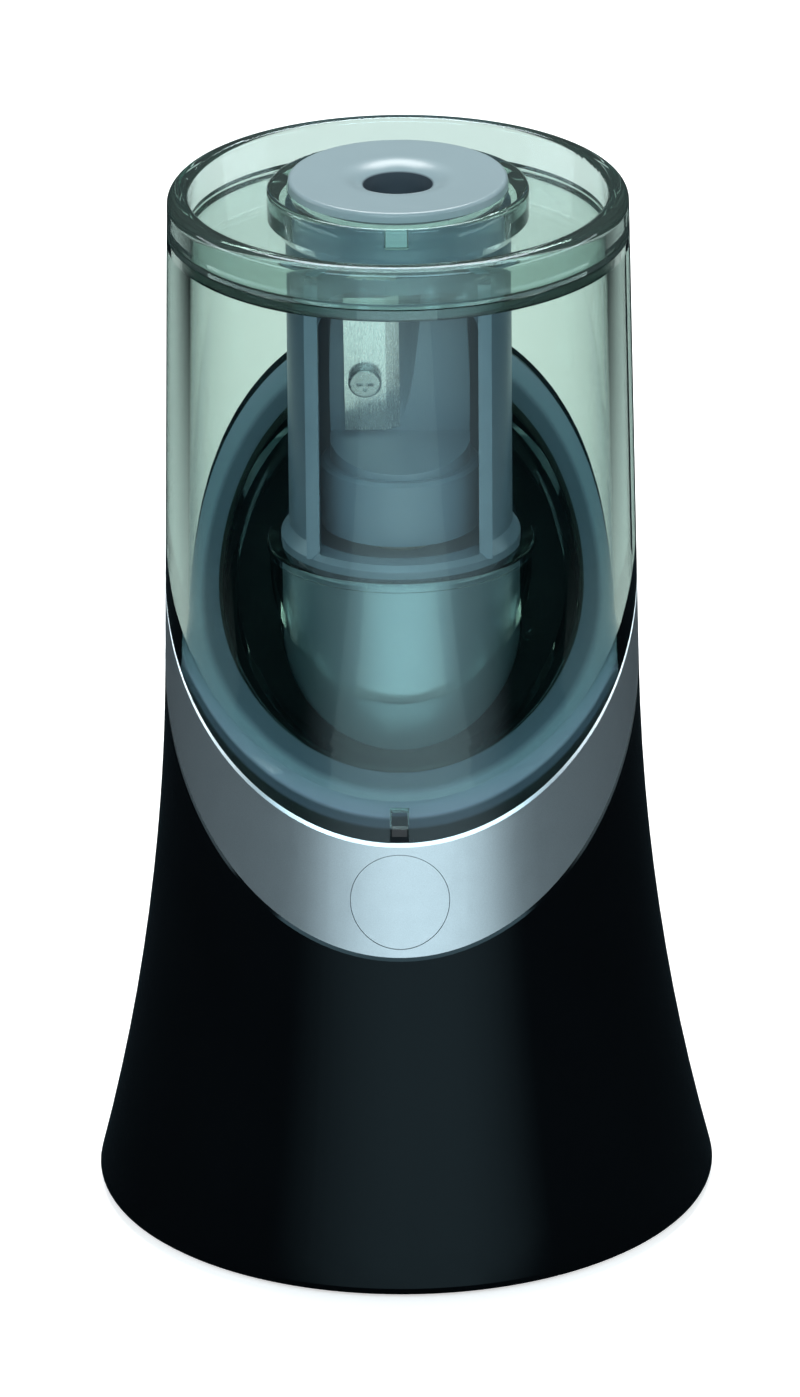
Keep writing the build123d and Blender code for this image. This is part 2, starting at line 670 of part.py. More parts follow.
# Motor frame: a deck on four legs that stands on the roof of the battery bay
with BuildPart() as motor_frame:
    with BuildSketch(Plane.XY.offset(deck_under_z)):
        with Locations(*posts):
            Circle(POST_RADIUS + POST_MARGIN)
        with Locations((0, gear_centre_distance)):
            Circle(AXLE_RADIUS + AXLE_BOSS)
        make_hull()
    extrude(amount=FRAME_DECK)
    with BuildSketch(Plane.XY.offset(roof_top)):
        with Locations(*posts):
            Circle(POST_RADIUS)
    extrude(amount=frame_leg_height)
    with BuildSketch(Plane.XY.offset(deck_under_z)):
        Circle(MOTOR_BOSS_RADIUS + MOTOR_BOSS_CLEARANCE)
        with Locations((0, gear_centre_distance)):
            Circle(AXLE_RADIUS + PRESS_CLEARANCE)
        with Locations((MOTOR_SCREW_OFFSET, 0), (-MOTOR_SCREW_OFFSET, 0)):
            Circle(SMALL_SCREW_RADIUS + SCREW_CLEARANCE)
    extrude(amount=FRAME_DECK, mode=Mode.SUBTRACT)
    with BuildSketch(Plane.XY.offset(roof_top)):
        with Locations(*posts):
            Circle(SCREW_RADIUS + SCREW_CLEARANCE)
    extrude(amount=SCREW_GRIP, mode=Mode.SUBTRACT)
    with BuildSketch(Plane.XY.offset(deck_top_z)):
        with Locations(*posts):
            Circle(SCREW_RADIUS + SCREW_CLEARANCE)
    extrude(amount=-SCREW_GRIP, mode=Mode.SUBTRACT)
motor_frame.part.label = "motor_frame"
export_step(motor_frame.part, "parts/motor_frame.step")

# Screws up through the bay's roof into the legs
frame_screw = screw(
    SCREW_RADIUS,
    SCREW_HEAD_RADIUS,
    SCREW_HEAD,
    BAY_ROOF - SCREW_HEAD + SCREW_GRIP - SCREW_CLEARANCE,
)
with BuildPart() as frame_screws:
    with Locations(*[(x, y, bay_top + SCREW_HEAD) for x, y in posts]):
        add(frame_screw, rotation=(180, 0, 0))
frame_screws.part.label = "frame_screws"
export_step(frame_screws.part, "parts/frame_screws.step")

# Motor can, closed at the top, with a bearing boss in the frame's hole
can_bore = MOTOR_RADIUS - MOTOR_WALL
shaft_bore = MOTOR_SHAFT_RADIUS + RUNNING_CLEARANCE
with BuildPart() as motor_can:
    with BuildSketch(Plane.XY.offset(motor_bottom)):
        Circle(MOTOR_RADIUS)
    extrude(amount=motor_length)
    with BuildSketch(Plane.XY.offset(deck_under_z)):
        Circle(MOTOR_BOSS_RADIUS)
    extrude(amount=MOTOR_BOSS_HEIGHT)
    with BuildSketch(Plane.XY.offset(motor_bottom)):
        Circle(can_bore)
    extrude(amount=motor_length - MOTOR_WALL, mode=Mode.SUBTRACT)
    with BuildSketch(Plane.XY.offset(motor_bottom)):
        Circle(shaft_bore)
        with Locations((MOTOR_SCREW_OFFSET, 0), (-MOTOR_SCREW_OFFSET, 0)):
            Circle(SMALL_SCREW_RADIUS + SCREW_CLEARANCE)
    extrude(amount=motor_length + MOTOR_BOSS_HEIGHT, mode=Mode.SUBTRACT)
motor_can.part.label = "motor_can"
export_step(motor_can.part, "parts/motor_can.step")

# Two magnets against the inside of the can
magnet_radius = can_bore - PRESS_CLEARANCE
magnet_start = motor_bottom + (motor_length - MOTOR_WALL - magnet_length) / 2
with BuildPart() as motor_magnets:
    with BuildSketch(Plane.XY.offset(magnet_start)):
        Circle(magnet_radius)
        Circle(magnet_radius - MAGNET_THICKNESS, mode=Mode.SUBTRACT)
        Rectangle(MAGNET_SPLIT, 2 * MOTOR_RADIUS, mode=Mode.SUBTRACT)
    extrude(amount=magnet_length)
motor_magnets.part.label = "motor_magnets"
export_step(motor_magnets.part, "parts/motor_magnets.step")

# End cap with the lower bearing
with BuildPart() as motor_end_cap:
    with BuildSketch(Plane.XY.offset(motor_bottom)):
        Circle(can_bore - PRESS_CLEARANCE)
    extrude(amount=END_CAP)
    with BuildSketch(Plane.XY.offset(motor_bottom)):
        Circle(END_BEARING_RADIUS)
    extrude(amount=-END_BEARING_HEIGHT)
    with BuildSketch(Plane.XY.offset(motor_bottom - END_BEARING_HEIGHT)):
        Circle(shaft_bore)
    extrude(amount=END_BEARING_HEIGHT + END_CAP, mode=Mode.SUBTRACT)
motor_end_cap.part.label = "motor_end_cap"
export_step(motor_end_cap.part, "parts/motor_end_cap.step")

# Two solder terminals under the end cap
with BuildPart() as motor_terminals:
    with BuildSketch(Plane.XY.offset(motor_bottom)):
        with Locations((TERMINAL_OFFSET, 0), (-TERMINAL_OFFSET, 0)):
            Rectangle(TERMINAL_THICKNESS, TERMINAL_WIDTH)
    extrude(amount=-TERMINAL_LENGTH)
motor_terminals.part.label = "motor_terminals"
export_step(motor_terminals.part, "parts/motor_terminals.step")

# Rotor: slotted armature, commutator, shaft and pinion
shaft_seat = MOTOR_SHAFT_RADIUS + PRESS_CLEARANCE
armature_radius = magnet_radius - MAGNET_THICKNESS - ARMATURE_GAP
armature_start = magnet_start + (magnet_length - armature_length) / 2
with BuildPart() as motor_armature:
    with BuildSketch(Plane.XY.offset(armature_start)):
        Circle(armature_radius)
        with PolarLocations(ARMATURE_CORE, ARMATURE_SLOTS):
            Rectangle(
                armature_radius,
                ARMATURE_SLOT_WIDTH,
                align=(Align.MIN, Align.CENTER),
                mode=Mode.SUBTRACT,
            )
        Circle(shaft_seat, mode=Mode.SUBTRACT)
    extrude(amount=armature_length)
motor_armature.part.label = "motor_armature"
export_step(motor_armature.part, "parts/motor_armature.step")

with BuildPart() as motor_commutator:
    with BuildSketch(Plane.XY.offset(armature_start)):
        Circle(COMMUTATOR_RADIUS)
        Circle(shaft_seat, mode=Mode.SUBTRACT)
    extrude(amount=-COMMUTATOR_LENGTH)
motor_commutator.part.label = "motor_commutator"
export_step(motor_commutator.part, "parts/motor_commutator.step")

with BuildPart() as motor_shaft:
    with BuildSketch(Plane.XY.offset(motor_bottom - END_BEARING_HEIGHT)):
        Circle(MOTOR_SHAFT_RADIUS)
    extrude(amount=pinion_top - motor_bottom + END_BEARING_HEIGHT)
motor_shaft.part.label = "motor_shaft"
export_step(motor_shaft.part, "parts/motor_shaft.step")

with BuildPart() as motor_pinion:
    with BuildSketch(Plane.XY.offset(wheel_bottom)):
        with BuildLine():
            Polyline(*gear_points(MOTOR_PINION_TEETH, 90), close=True)
        make_face()
        Circle(shaft_seat, mode=Mode.SUBTRACT)
    extrude(amount=MOTOR_PINION_FACE)
motor_pinion.part.label = "motor_pinion"
export_step(motor_pinion.part, "parts/motor_pinion.step")

# Two screws that hold the motor under the deck
motor_screw = screw(
    SMALL_SCREW_RADIUS, SMALL_SCREW_HEAD_RADIUS, SMALL_SCREW_HEAD, FRAME_DECK + MOTOR_WALL
)
with BuildPart() as motor_screws:
    with Locations((MOTOR_SCREW_OFFSET, 0, deck_top_z), (-MOTOR_SCREW_OFFSET, 0, deck_top_z)):
        add(motor_screw)
motor_screws.part.label = "motor_screws"
export_step(motor_screws.part, "parts/motor_screws.step")

# Compound gear behind the axis: a wheel below and a pinion above on one fixed axle
axle_plane = Plane.XY.shift_origin((0, gear_centre_distance, 0))
with BuildPart() as compound_gear:
    with BuildSketch(axle_plane.offset(wheel_bottom)):
        with BuildLine():
            Polyline(*gear_points(WHEEL_TEETH, 270 + 180 / WHEEL_TEETH), close=True)
        make_face()
    extrude(amount=WHEEL_FACE)
    with BuildSketch(axle_plane.offset(wheel_top)):
        with BuildLine():
            Polyline(*gear_points(IDLER_PINION_TEETH, 270 + 180 / IDLER_PINION_TEETH), close=True)
        make_face()
    extrude(amount=cover_under - COVER_GAP - wheel_top)
    with BuildSketch(axle_plane.offset(deck_top_z)):
        Circle(IDLER_HUB_RADIUS)
    extrude(amount=GEAR_GAP)
    with BuildSketch(axle_plane.offset(deck_top_z)):
        Circle(AXLE_RADIUS + RUNNING_CLEARANCE)
    extrude(amount=cover_under - deck_top_z, mode=Mode.SUBTRACT)
compound_gear.part.label = "compound_gear"
export_step(compound_gear.part, "parts/compound_gear.step")

with BuildPart() as compound_axle:
    with BuildSketch(axle_plane.offset(deck_under_z)):
        Circle(AXLE_RADIUS)
    extrude(amount=cover_top - deck_under_z)
compound_axle.part.label = "compound_axle"
export_step(compound_axle.part, "parts/compound_axle.step")

# Gear cover: a plate on four posts over the gears, under the tower
tower_flange_radius = TOWER_RADIUS + TOWER_FLANGE_LAP
with BuildPart() as gear_cover:
    with BuildSketch(Plane.XY.offset(cover_under)):
        with Locations(*posts):
            Circle(POST_RADIUS + POST_MARGIN)
        with Locations((0, gear_centre_distance)):
            Circle(AXLE_RADIUS + AXLE_BOSS)
        Circle(tower_flange_radius)
        make_hull()
    extrude(amount=COVER_THICKNESS)
    with BuildSketch(Plane.XY.offset(deck_top_z)):
        with Locations(*posts):
            Circle(POST_RADIUS)
    extrude(amount=cover_under - deck_top_z)
    with BuildSketch(Plane.XY.offset(deck_top_z)):
        with Locations(*posts):
            Circle(SCREW_RADIUS + SCREW_CLEARANCE)
    extrude(amount=cover_top - deck_top_z, mode=Mode.SUBTRACT)
    with BuildSketch(Plane.XY.offset(cover_under)):
        Circle(bush_radius + PRESS_CLEARANCE)
        with Locations((0, gear_centre_distance)):
            Circle(AXLE_RADIUS + PRESS_CLEARANCE)
        with PolarLocations(tower_screw_circle, TOWER_SCREW_COUNT, TOWER_SCREW_START):
            Circle(SMALL_SCREW_RADIUS + SCREW_CLEARANCE)
    extrude(amount=COVER_THICKNESS, mode=Mode.SUBTRACT)
gear_cover.part.label = "gear_cover"
export_step(gear_cover.part, "parts/gear_cover.step")

cover_screw = screw(
    SCREW_RADIUS,
    SCREW_HEAD_RADIUS,
    SCREW_HEAD,
    cover_top - deck_top_z + SCREW_GRIP - SCREW_CLEARANCE,
)
with BuildPart() as cover_screws:
    with Locations(*[(x, y, cover_top) for x, y in posts]):
        add(cover_screw)
cover_screws.part.label = "cover_screws"
export_step(cover_screws.part, "parts/cover_screws.step")

# Flanged bushes for the spindle, in the gear cover and in the tower's roof
with BuildPart() as lower_bush:
    with BuildSketch(Plane.XY.offset(cover_under)):
        Circle(bush_radius)
    extrude(amount=COVER_THICKNESS)
    with BuildSketch(Plane.XY.offset(cover_top)):
        Circle(bush_flange_radius)
    extrude(amount=BUSH_FLANGE)
    with BuildSketch(Plane.XY.offset(cover_under)):
        Circle(bush_bore)
    extrude(amount=COVER_THICKNESS + BUSH_FLANGE, mode=Mode.SUBTRACT)
lower_bush.part.label = "lower_bush"
export_step(lower_bush.part, "parts/lower_bush.step")

upper_bush_bottom = tower_roof_under - bush_boss_depth
with BuildPart() as upper_bush:
    with BuildSketch(Plane.XY.offset(upper_bush_bottom)):
        Circle(bush_radius)
    extrude(amount=tower_top - upper_bush_bottom)
    with BuildSketch(Plane.XY.offset(tower_top)):
        Circle(bush_flange_radius)
    extrude(amount=BUSH_FLANGE)
    with BuildSketch(Plane.XY.offset(upper_bush_bottom)):
        Circle(bush_bore)
    extrude(amount=tower_top + BUSH_FLANGE - upper_bush_bottom, mode=Mode.SUBTRACT)
upper_bush.part.label = "upper_bush"
export_step(upper_bush.part, "parts/upper_bush.step")

# Drive tower: the grey cup that stands up through the deck
with BuildPart() as drive_tower:
    with BuildSketch(Plane.XY.offset(cover_top)):
        Circle(TOWER_RADIUS)
    extrude(amount=tower_top - cover_top)
    fillet(drive_tower.edges().group_by(Axis.Z)[-1], TOWER_ROUND)
    with BuildSketch(Plane.XY.offset(cover_top)):
        Circle(tower_flange_radius)
    extrude(amount=TOWER_FLANGE)
    with BuildSketch(Plane.XY.offset(cover_top)):
        Circle(TOWER_RADIUS - TOWER_WALL)
    extrude(amount=tower_roof_under - cover_top, mode=Mode.SUBTRACT)
    with BuildSketch(Plane.XY.offset(upper_bush_bottom)):
        Circle(bush_radius + BUSH_BOSS_WALL)
    extrude(amount=bush_boss_depth + TOWER_ROOF / 2)
    with BuildSketch(Plane.XY.offset(upper_bush_bottom)):
        Circle(bush_radius + PRESS_CLEARANCE)
    extrude(amount=tower_top - upper_bush_bottom, mode=Mode.SUBTRACT)
    with BuildSketch(Plane.XY.offset(cover_top)):
        with PolarLocations(tower_screw_circle, TOWER_SCREW_COUNT, TOWER_SCREW_START):
            Circle(SMALL_SCREW_RADIUS + SCREW_CLEARANCE)
    extrude(amount=TOWER_FLANGE, mode=Mode.SUBTRACT)
drive_tower.part.label = "drive_tower"
export_step(drive_tower.part, "parts/drive_tower.step")

tower_screw = screw(
    SMALL_SCREW_RADIUS, SMALL_SCREW_HEAD_RADIUS, SMALL_SCREW_HEAD, TOWER_FLANGE + SMALL_SCREW_GRIP
)
with BuildPart() as tower_screws:
    with Locations((0, 0, cover_top + TOWER_FLANGE)):
        with PolarLocations(tower_screw_circle, TOWER_SCREW_COUNT, TOWER_SCREW_START):
            add(tower_screw)
tower_screws.part.label = "tower_screws"
export_step(tower_screws.part, "parts/tower_screws.step")

# Spindle with a clip groove, and its gear
spindle_top = socket_floor - SOCKET_CLEARANCE
drive_pin_height = hub_bottom + DRIVE_PIN_RISE
with BuildPart() as spindle:
    with BuildSketch(Plane.XY.offset(spindle_bottom)):
        Circle(SPINDLE_RADIUS)
    extrude(amount=spindle_top - spindle_bottom)
    with BuildSketch(Plane.XY.offset(clip_bottom)):
        Circle(SPINDLE_RADIUS)
        Circle(SPINDLE_RADIUS - CLIP_GROOVE, mode=Mode.SUBTRACT)
    extrude(amount=CLIP_THICKNESS, mode=Mode.SUBTRACT)
    with BuildSketch(Plane.YZ):
        with Locations((0, drive_pin_height)):
            Circle(DRIVE_PIN_RADIUS + PRESS_CLEARANCE)
    extrude(amount=SPINDLE_RADIUS, both=True, mode=Mode.SUBTRACT)
spindle.part.label = "spindle"
export_step(spindle.part, "parts/spindle.step")

with BuildPart() as spindle_gear:
    with BuildSketch(Plane.XY.offset(spindle_gear_bottom)):
        with BuildLine():
            Polyline(*gear_points(spindle_gear_teeth, 90), close=True)
        make_face()
        Circle(SPINDLE_RADIUS + PRESS_CLEARANCE, mode=Mode.SUBTRACT)
    extrude(amount=SPINDLE_GEAR_FACE)
spindle_gear.part.label = "spindle_gear"
export_step(spindle_gear.part, "parts/spindle_gear.step")

# Open retaining clip in the spindle's groove
with BuildPart() as retaining_clip:
    with BuildSketch(Plane.XY.offset(clip_bottom)):
        Circle(CLIP_RADIUS)
        Circle(SPINDLE_RADIUS - CLIP_GROOVE + PRESS_CLEARANCE, mode=Mode.SUBTRACT)
        Rectangle(
            CLIP_RADIUS,
            2 * (SPINDLE_RADIUS - CLIP_GROOVE),
            align=(Align.MIN, Align.CENTER),
            mode=Mode.SUBTRACT,
        )
    extrude(amount=CLIP_THICKNESS)
retaining_clip.part.label = "retaining_clip"
export_step(retaining_clip.part, "parts/retaining_clip.step")

# Thrust yoke under the clip: it slides with the spindle and presses the start switch
with BuildPart() as thrust_yoke:
    with BuildSketch(Plane.XY.offset(yoke_bottom)):
        Circle(YOKE_RADIUS)
        with Locations((SWITCH_OFFSET, 0)):
            Circle(YOKE_ARM_WIDTH / 2)
        make_hull()
        Circle(bush_bore, mode=Mode.SUBTRACT)
    extrude(amount=YOKE_THICKNESS)
thrust_yoke.part.label = "thrust_yoke"
export_step(thrust_yoke.part, "parts/thrust_yoke.step")

start_coil = coil(SPRING_RADIUS, SPRING_LENGTH, SPRING_TURNS, SPRING_WIRE)
with BuildPart() as start_spring:
    with Locations((0, 0, lower_bush_top)):
        add(start_coil)
start_spring.part.label = "start_spring"
export_step(start_spring.part, "parts/start_spring.step")

switch_plane = Plane.XY.shift_origin((SWITCH_OFFSET, 0, 0))
with BuildPart() as start_switch:
    with BuildSketch(switch_plane.offset(cover_top)):
        Rectangle(SWITCH_WIDTH, SWITCH_DEPTH)
    extrude(amount=SWITCH_HEIGHT)
    with BuildSketch(switch_plane.offset(switch_top)):
        Circle(BUTTON_RADIUS + BUTTON_CLEARANCE)
    extrude(amount=-(BUTTON_STEM + START_TRAVEL + BUTTON_CLEARANCE), mode=Mode.SUBTRACT)
start_switch.part.label = "start_switch"
export_step(start_switch.part, "parts/start_switch.step")

with BuildPart() as start_button:
    with BuildSketch(switch_plane.offset(switch_top - BUTTON_STEM)):
        Circle(BUTTON_RADIUS)
    extrude(amount=BUTTON_STEM + yoke_bottom - switch_top)
start_button.part.label = "start_button"
export_step(start_button.part, "parts/start_button.step")

# Drive hub on the spindle's top, with a square socket for the cutter head and a cross pin
with BuildPart() as drive_hub:
    with BuildSketch(Plane.XY.offset(hub_bottom)):
        Circle(HUB_RADIUS)
    extrude(amount=HUB_HEIGHT)
    chamfer(drive_hub.edges().group_by(Axis.Z)[-1], HUB_EDGE)
    with BuildSketch(Plane.XY.offset(hub_top)):
        Rectangle(HUB_SOCKET, HUB_SOCKET)
    extrude(amount=-HUB_SOCKET_DEPTH, mode=Mode.SUBTRACT)
    with BuildSketch(Plane.XY.offset(hub_bottom)):
        Circle(SPINDLE_RADIUS + PRESS_CLEARANCE)
    extrude(amount=HUB_HEIGHT - HUB_SOCKET_DEPTH, mode=Mode.SUBTRACT)
    with BuildSketch(Plane.YZ):
        with Locations((0, drive_pin_height)):
            Circle(DRIVE_PIN_RADIUS + PRESS_CLEARANCE)
    extrude(amount=HUB_RADIUS, both=True, mode=Mode.SUBTRACT)
drive_hub.part.label = "drive_hub"
export_step(drive_hub.part, "parts/drive_hub.step")

with BuildPart() as drive_pin:
    with BuildSketch(Plane.YZ):
        with Locations((0, drive_pin_height)):
            Circle(DRIVE_PIN_RADIUS)
    extrude(amount=HUB_RADIUS - DRIVE_PIN_SINK, both=True)
drive_pin.part.label = "drive_pin"
export_step(drive_pin.part, "parts/drive_pin.step")

# Cutter head: the flat that carries the blade leans with the pencil's cone and cuts into it
cone_tilt = radians(CONE_HALF_ANGLE)
cone_depth = CONE_MOUTH_RADIUS / tan(cone_tilt)
flat_reach = CONE_MOUTH_RADIUS - CONE_CUT
flat_normal = Vector(0, -cos(cone_tilt), -sin(cone_tilt))
flat_up = Vector(0, -sin(cone_tilt), cos(cone_tilt))
flat_plane = Plane(origin=(0, -flat_reach, head_top), x_dir=(1, 0, 0), z_dir=flat_normal)
flat_length = (HEAD_HEIGHT - HEAD_LEDGE) / cos(cone_tilt)
blade_length = flat_length - 2 * BLADE_MARGIN
screw_x = -(BLADE_WIDTH + BLADE_BEVEL) / 2
screw_y = -flat_length / 2 - BLADE_SCREW_DROP
with BuildPart() as cutter_head:
    with BuildSketch(Plane.XY.offset(hub_top)):
        Circle(HEAD_RADIUS)
    extrude(amount=HEAD_HEIGHT)
    chamfer(cutter_head.edges().group_by(Axis.Z)[-1], HUB_EDGE)
    with BuildSketch(flat_plane):
        with Locations((0, -flat_length)):
            Rectangle(2 * HEAD_RADIUS, 2 * flat_length, align=(Align.CENTER, Align.MIN))
    extrude(amount=2 * HEAD_RADIUS, mode=Mode.SUBTRACT)
    with BuildSketch(Plane.XZ):
        with BuildLine():
            Polyline(
                (0, head_top), (CONE_MOUTH_RADIUS, head_top), (0, head_top - cone_depth), close=True
            )
        make_face()
    revolve(axis=Axis.Z, mode=Mode.SUBTRACT)
    with BuildSketch(Plane.XY.offset(hub_top)):
        Rectangle(HUB_SOCKET - 2 * SOCKET_CLEARANCE, HUB_SOCKET - 2 * SOCKET_CLEARANCE)
    extrude(amount=-(HUB_SOCKET_DEPTH - SOCKET_CLEARANCE))
    with BuildSketch(flat_plane):
        with Locations((screw_x, screw_y)):
            Circle(BLADE_SCREW_RADIUS + PRESS_CLEARANCE)
    extrude(amount=-(BLADE_SCREW_GRIP + SOCKET_CLEARANCE), mode=Mode.SUBTRACT)
cutter_head.part.label = "cutter_head"
export_step(cutter_head.part, "parts/cutter_head.step")

# Blade: a flat plate on the flat, ground to an edge that lies along the middle of the cone
blade_start = Vector(0, -flat_reach, head_top) - flat_up * (BLADE_MARGIN + blade_length)
with BuildPart() as cutter_blade:
    with BuildSketch(Plane(origin=blade_start, x_dir=(1, 0, 0), z_dir=flat_up)):
        with BuildLine():
            Polyline(
                (0, 0),
                (-BLADE_WIDTH, 0),
                (-BLADE_WIDTH, -BLADE_THICKNESS),
                (-BLADE_BEVEL, -BLADE_THICKNESS),
                close=True,
            )
        make_face()
    extrude(amount=blade_length)
    with BuildSketch(flat_plane):
        with Locations((screw_x, screw_y)):
            Circle(BLADE_SCREW_RADIUS + SCREW_CLEARANCE)
    extrude(amount=BLADE_THICKNESS, mode=Mode.SUBTRACT)
cutter_blade.part.label = "cutter_blade"
export_step(cutter_blade.part, "parts/cutter_blade.step")

blade_fastener = screw(
    BLADE_SCREW_RADIUS,
    BLADE_SCREW_HEAD_RADIUS,
    BLADE_SCREW_HEAD,
    BLADE_THICKNESS + BLADE_SCREW_GRIP,
)
with BuildPart() as blade_screw:
    with Locations(flat_plane.offset(BLADE_THICKNESS)):
        with Locations((screw_x, screw_y)):
            add(blade_fastener)
blade_screw.part.label = "blade_screw"
export_step(blade_screw.part, "parts/blade_screw.step")

# Trim ring: outer band, flat slanted face with a round opening, and a lip inside the housing
with BuildPart() as ring_face:
    revolve(solid_section(ring_wall / 2), axis=Axis.Z)
    split(bisect_by=band_top, keep=Keep.BOTTOM)
    split(bisect_by=ring_under, keep=Keep.TOP)

lip_foot = slanted_plane(band_foot_height, BAND_FOOT_TILT, -RING_LIP_DEPTH)
lip_head = slanted_plane(band_foot_height, BAND_FOOT_TILT, RING_LIP_WALL)
with BuildPart() as ring_lip:
    revolve(wall_section(HOUSING_WALL + RING_LIP_CLEARANCE, ring_wall), axis=Axis.Z)
    split(bisect_by=lip_foot, keep=Keep.TOP)
    split(bisect_by=lip_head, keep=Keep.BOTTOM)

with BuildPart() as badge_pocket:
    revolve(wall_section(-BADGE_THICKNESS, BADGE_SINK + BADGE_THICKNESS), axis=Axis.Z)
    with BuildSketch(Plane.XZ):
        with Locations((0, badge_height)):
            Circle(BADGE_RADIUS + BADGE_CLEARANCE)
    extrude(amount=2 * BASE_RADIUS, mode=Mode.INTERSECT)

band_front = BAND_TOP_HEIGHT - WAIST_RADIUS * tan(radians(BAND_TOP_TILT))
nib_place = NIB_SETBACK - bell_radius(band_front)
with BuildPart() as ring_nib:
    with BuildSketch():
        with Locations((0, nib_place)):
            Rectangle(NIB_WIDTH, NIB_DEPTH, align=(Align.CENTER, Align.MIN))
    extrude(amount=RIM_HEIGHT)
    split(bisect_by=nib_top, keep=Keep.BOTTOM)
    split(bisect_by=ring_under, keep=Keep.TOP)

deck_screw_circle = OPENING_RADIUS + DECK_LAP / 2
ring_under_shift = RING_FACE * sin(radians(BAND_TOP_TILT))
deck_screw_places = [
    (
        deck_screw_circle * cos(radians(angle)),
        (deck_screw_circle * sin(radians(angle)) - ring_under_shift) / slant,
    )
    for angle in DECK_SCREW_ANGLES
]
with BuildPart() as trim_ring:
    revolve(wall_section(0, ring_wall), axis=Axis.Z)
    split(bisect_by=band_top, keep=Keep.BOTTOM)
    split(bisect_by=band_foot, keep=Keep.TOP)
    band_face = trim_ring.faces().filter_by(GeomType.PLANE).sort_by(Axis.Z)[-1]
    chamfer(band_face.edges().sort_by(SortBy.LENGTH)[-1], RING_EDGE)
    add(ring_face.part)
    add(ring_lip.part)
    with BuildSketch():
        Circle(OPENING_RADIUS)
    extrude(amount=RIM_HEIGHT, mode=Mode.SUBTRACT)
    add(ring_nib.part)
    add(badge_pocket.part, mode=Mode.SUBTRACT)
    with BuildSketch(Plane.XY.offset(WAIST_HEIGHT)):
        with Locations((0, INTERLOCK_Y)):
            Circle(INTERLOCK_PIN_RADIUS + INTERLOCK_PIN_CLEARANCE)
    extrude(amount=RIM_HEIGHT - WAIST_HEIGHT, mode=Mode.SUBTRACT)
    with BuildSketch(ring_under):
        with Locations(*deck_screw_places):
            Circle(SMALL_SCREW_RADIUS + SCREW_CLEARANCE)
    extrude(amount=SMALL_SCREW_GRIP + SCREW_CLEARANCE, mode=Mode.SUBTRACT)
trim_ring.part.label = "trim_ring"
export_step(trim_ring.part, "parts/trim_ring.step")

# Plain round badge let into the band at the front
with BuildPart() as badge_disc:
    revolve(wall_section(BADGE_SINK, BADGE_SINK + BADGE_THICKNESS), axis=Axis.Z)
    with BuildSketch(Plane.XZ):
        with Locations((0, badge_height)):
            Circle(BADGE_RADIUS)
    extrude(amount=2 * BASE_RADIUS, mode=Mode.INTERSECT)
badge_disc.part.label = "badge_disc"
export_step(badge_disc.part, "parts/badge_disc.step")

# Deck under the ring, with a pocket behind the tower for the interlock switch
pocket_back = INTERLOCK_Y + INTERLOCK_DEPTH / 2 + POCKET_CLEARANCE + POCKET_BACK
pocket_depth = INTERLOCK_DEPTH + POCKET_CLEARANCE + POCKET_BACK + POCKET_MOUTH
with BuildPart() as switch_pocket:
    with BuildSketch(Plane.XY.offset(interlock_switch_bottom - POCKET_FLOOR)):
        with Locations((0, pocket_back)):
            Rectangle(
                INTERLOCK_WIDTH + 2 * (POCKET_WALL + POCKET_CLEARANCE),
                pocket_depth,
                align=(Align.CENTER, Align.MAX),
            )
    extrude(amount=RIM_HEIGHT)
    split(bisect_by=ring_under, keep=Keep.BOTTOM)
    with BuildSketch(Plane.XY.offset(interlock_switch_bottom)):
        with Locations((0, pocket_back - POCKET_BACK)):
            Rectangle(
                INTERLOCK_WIDTH + 2 * POCKET_CLEARANCE,
                pocket_depth,
                align=(Align.CENTER, Align.MAX),
            )
    extrude(amount=INTERLOCK_HEIGHT + POCKET_CLEARANCE, mode=Mode.SUBTRACT)

with BuildPart() as inner_deck:
    with BuildSketch():
        Circle(deck_radius)
        Circle(TOWER_RADIUS + DECK_CLEARANCE, mode=Mode.SUBTRACT)
    extrude(amount=RIM_HEIGHT)
    split(bisect_by=ring_under, keep=Keep.BOTTOM)
    split(bisect_by=deck_under, keep=Keep.TOP)
    add(switch_pocket.part)
    with BuildSketch(Plane.XY.offset(interlock_switch_top)):
        with Locations((0, INTERLOCK_Y)):
            Circle(INTERLOCK_PIN_RADIUS + INTERLOCK_PIN_CLEARANCE)
    extrude(amount=RIM_HEIGHT - interlock_switch_top, mode=Mode.SUBTRACT)
    with BuildSketch(deck_under):
        with Locations(*deck_screw_places):
            Circle(SMALL_SCREW_RADIUS + SCREW_CLEARANCE)
    extrude(amount=DECK_THICKNESS, mode=Mode.SUBTRACT)
inner_deck.part.label = "inner_deck"
export_step(inner_deck.part, "parts/inner_deck.step")

deck_screw = screw(
    SMALL_SCREW_RADIUS, SMALL_SCREW_HEAD_RADIUS, SMALL_SCREW_HEAD, DECK_THICKNESS + SMALL_SCREW_GRIP
)
with BuildPart() as deck_screws:
    with Locations(deck_under):
        with Locations(*deck_screw_places):
            add(deck_screw, rotation=(180, 0, 0))
deck_screws.part.label = "deck_screws"
export_step(deck_screws.part, "parts/deck_screws.step")

# Interlock: a switch in the deck's pocket and a pin that the seated receptacle holds down
interlock_plane = Plane.XY.shift_origin((0, INTERLOCK_Y, 0))
with BuildPart() as interlock_switch:
    with BuildSketch(interlock_plane.offset(interlock_switch_bottom)):
        Rectangle(INTERLOCK_WIDTH, INTERLOCK_DEPTH)
    extrude(amount=INTERLOCK_HEIGHT)
    with BuildSketch(interlock_plane.offset(interlock_switch_top)):
        Circle(INTERLOCK_PIN_RADIUS + INTERLOCK_PIN_CLEARANCE)
    extrude(amount=-(BUTTON_STEM + INTERLOCK_TRAVEL + BUTTON_CLEARANCE), mode=Mode.SUBTRACT)
interlock_switch.part.label = "interlock_switch"
export_step(interlock_switch.part, "parts/interlock_switch.step")

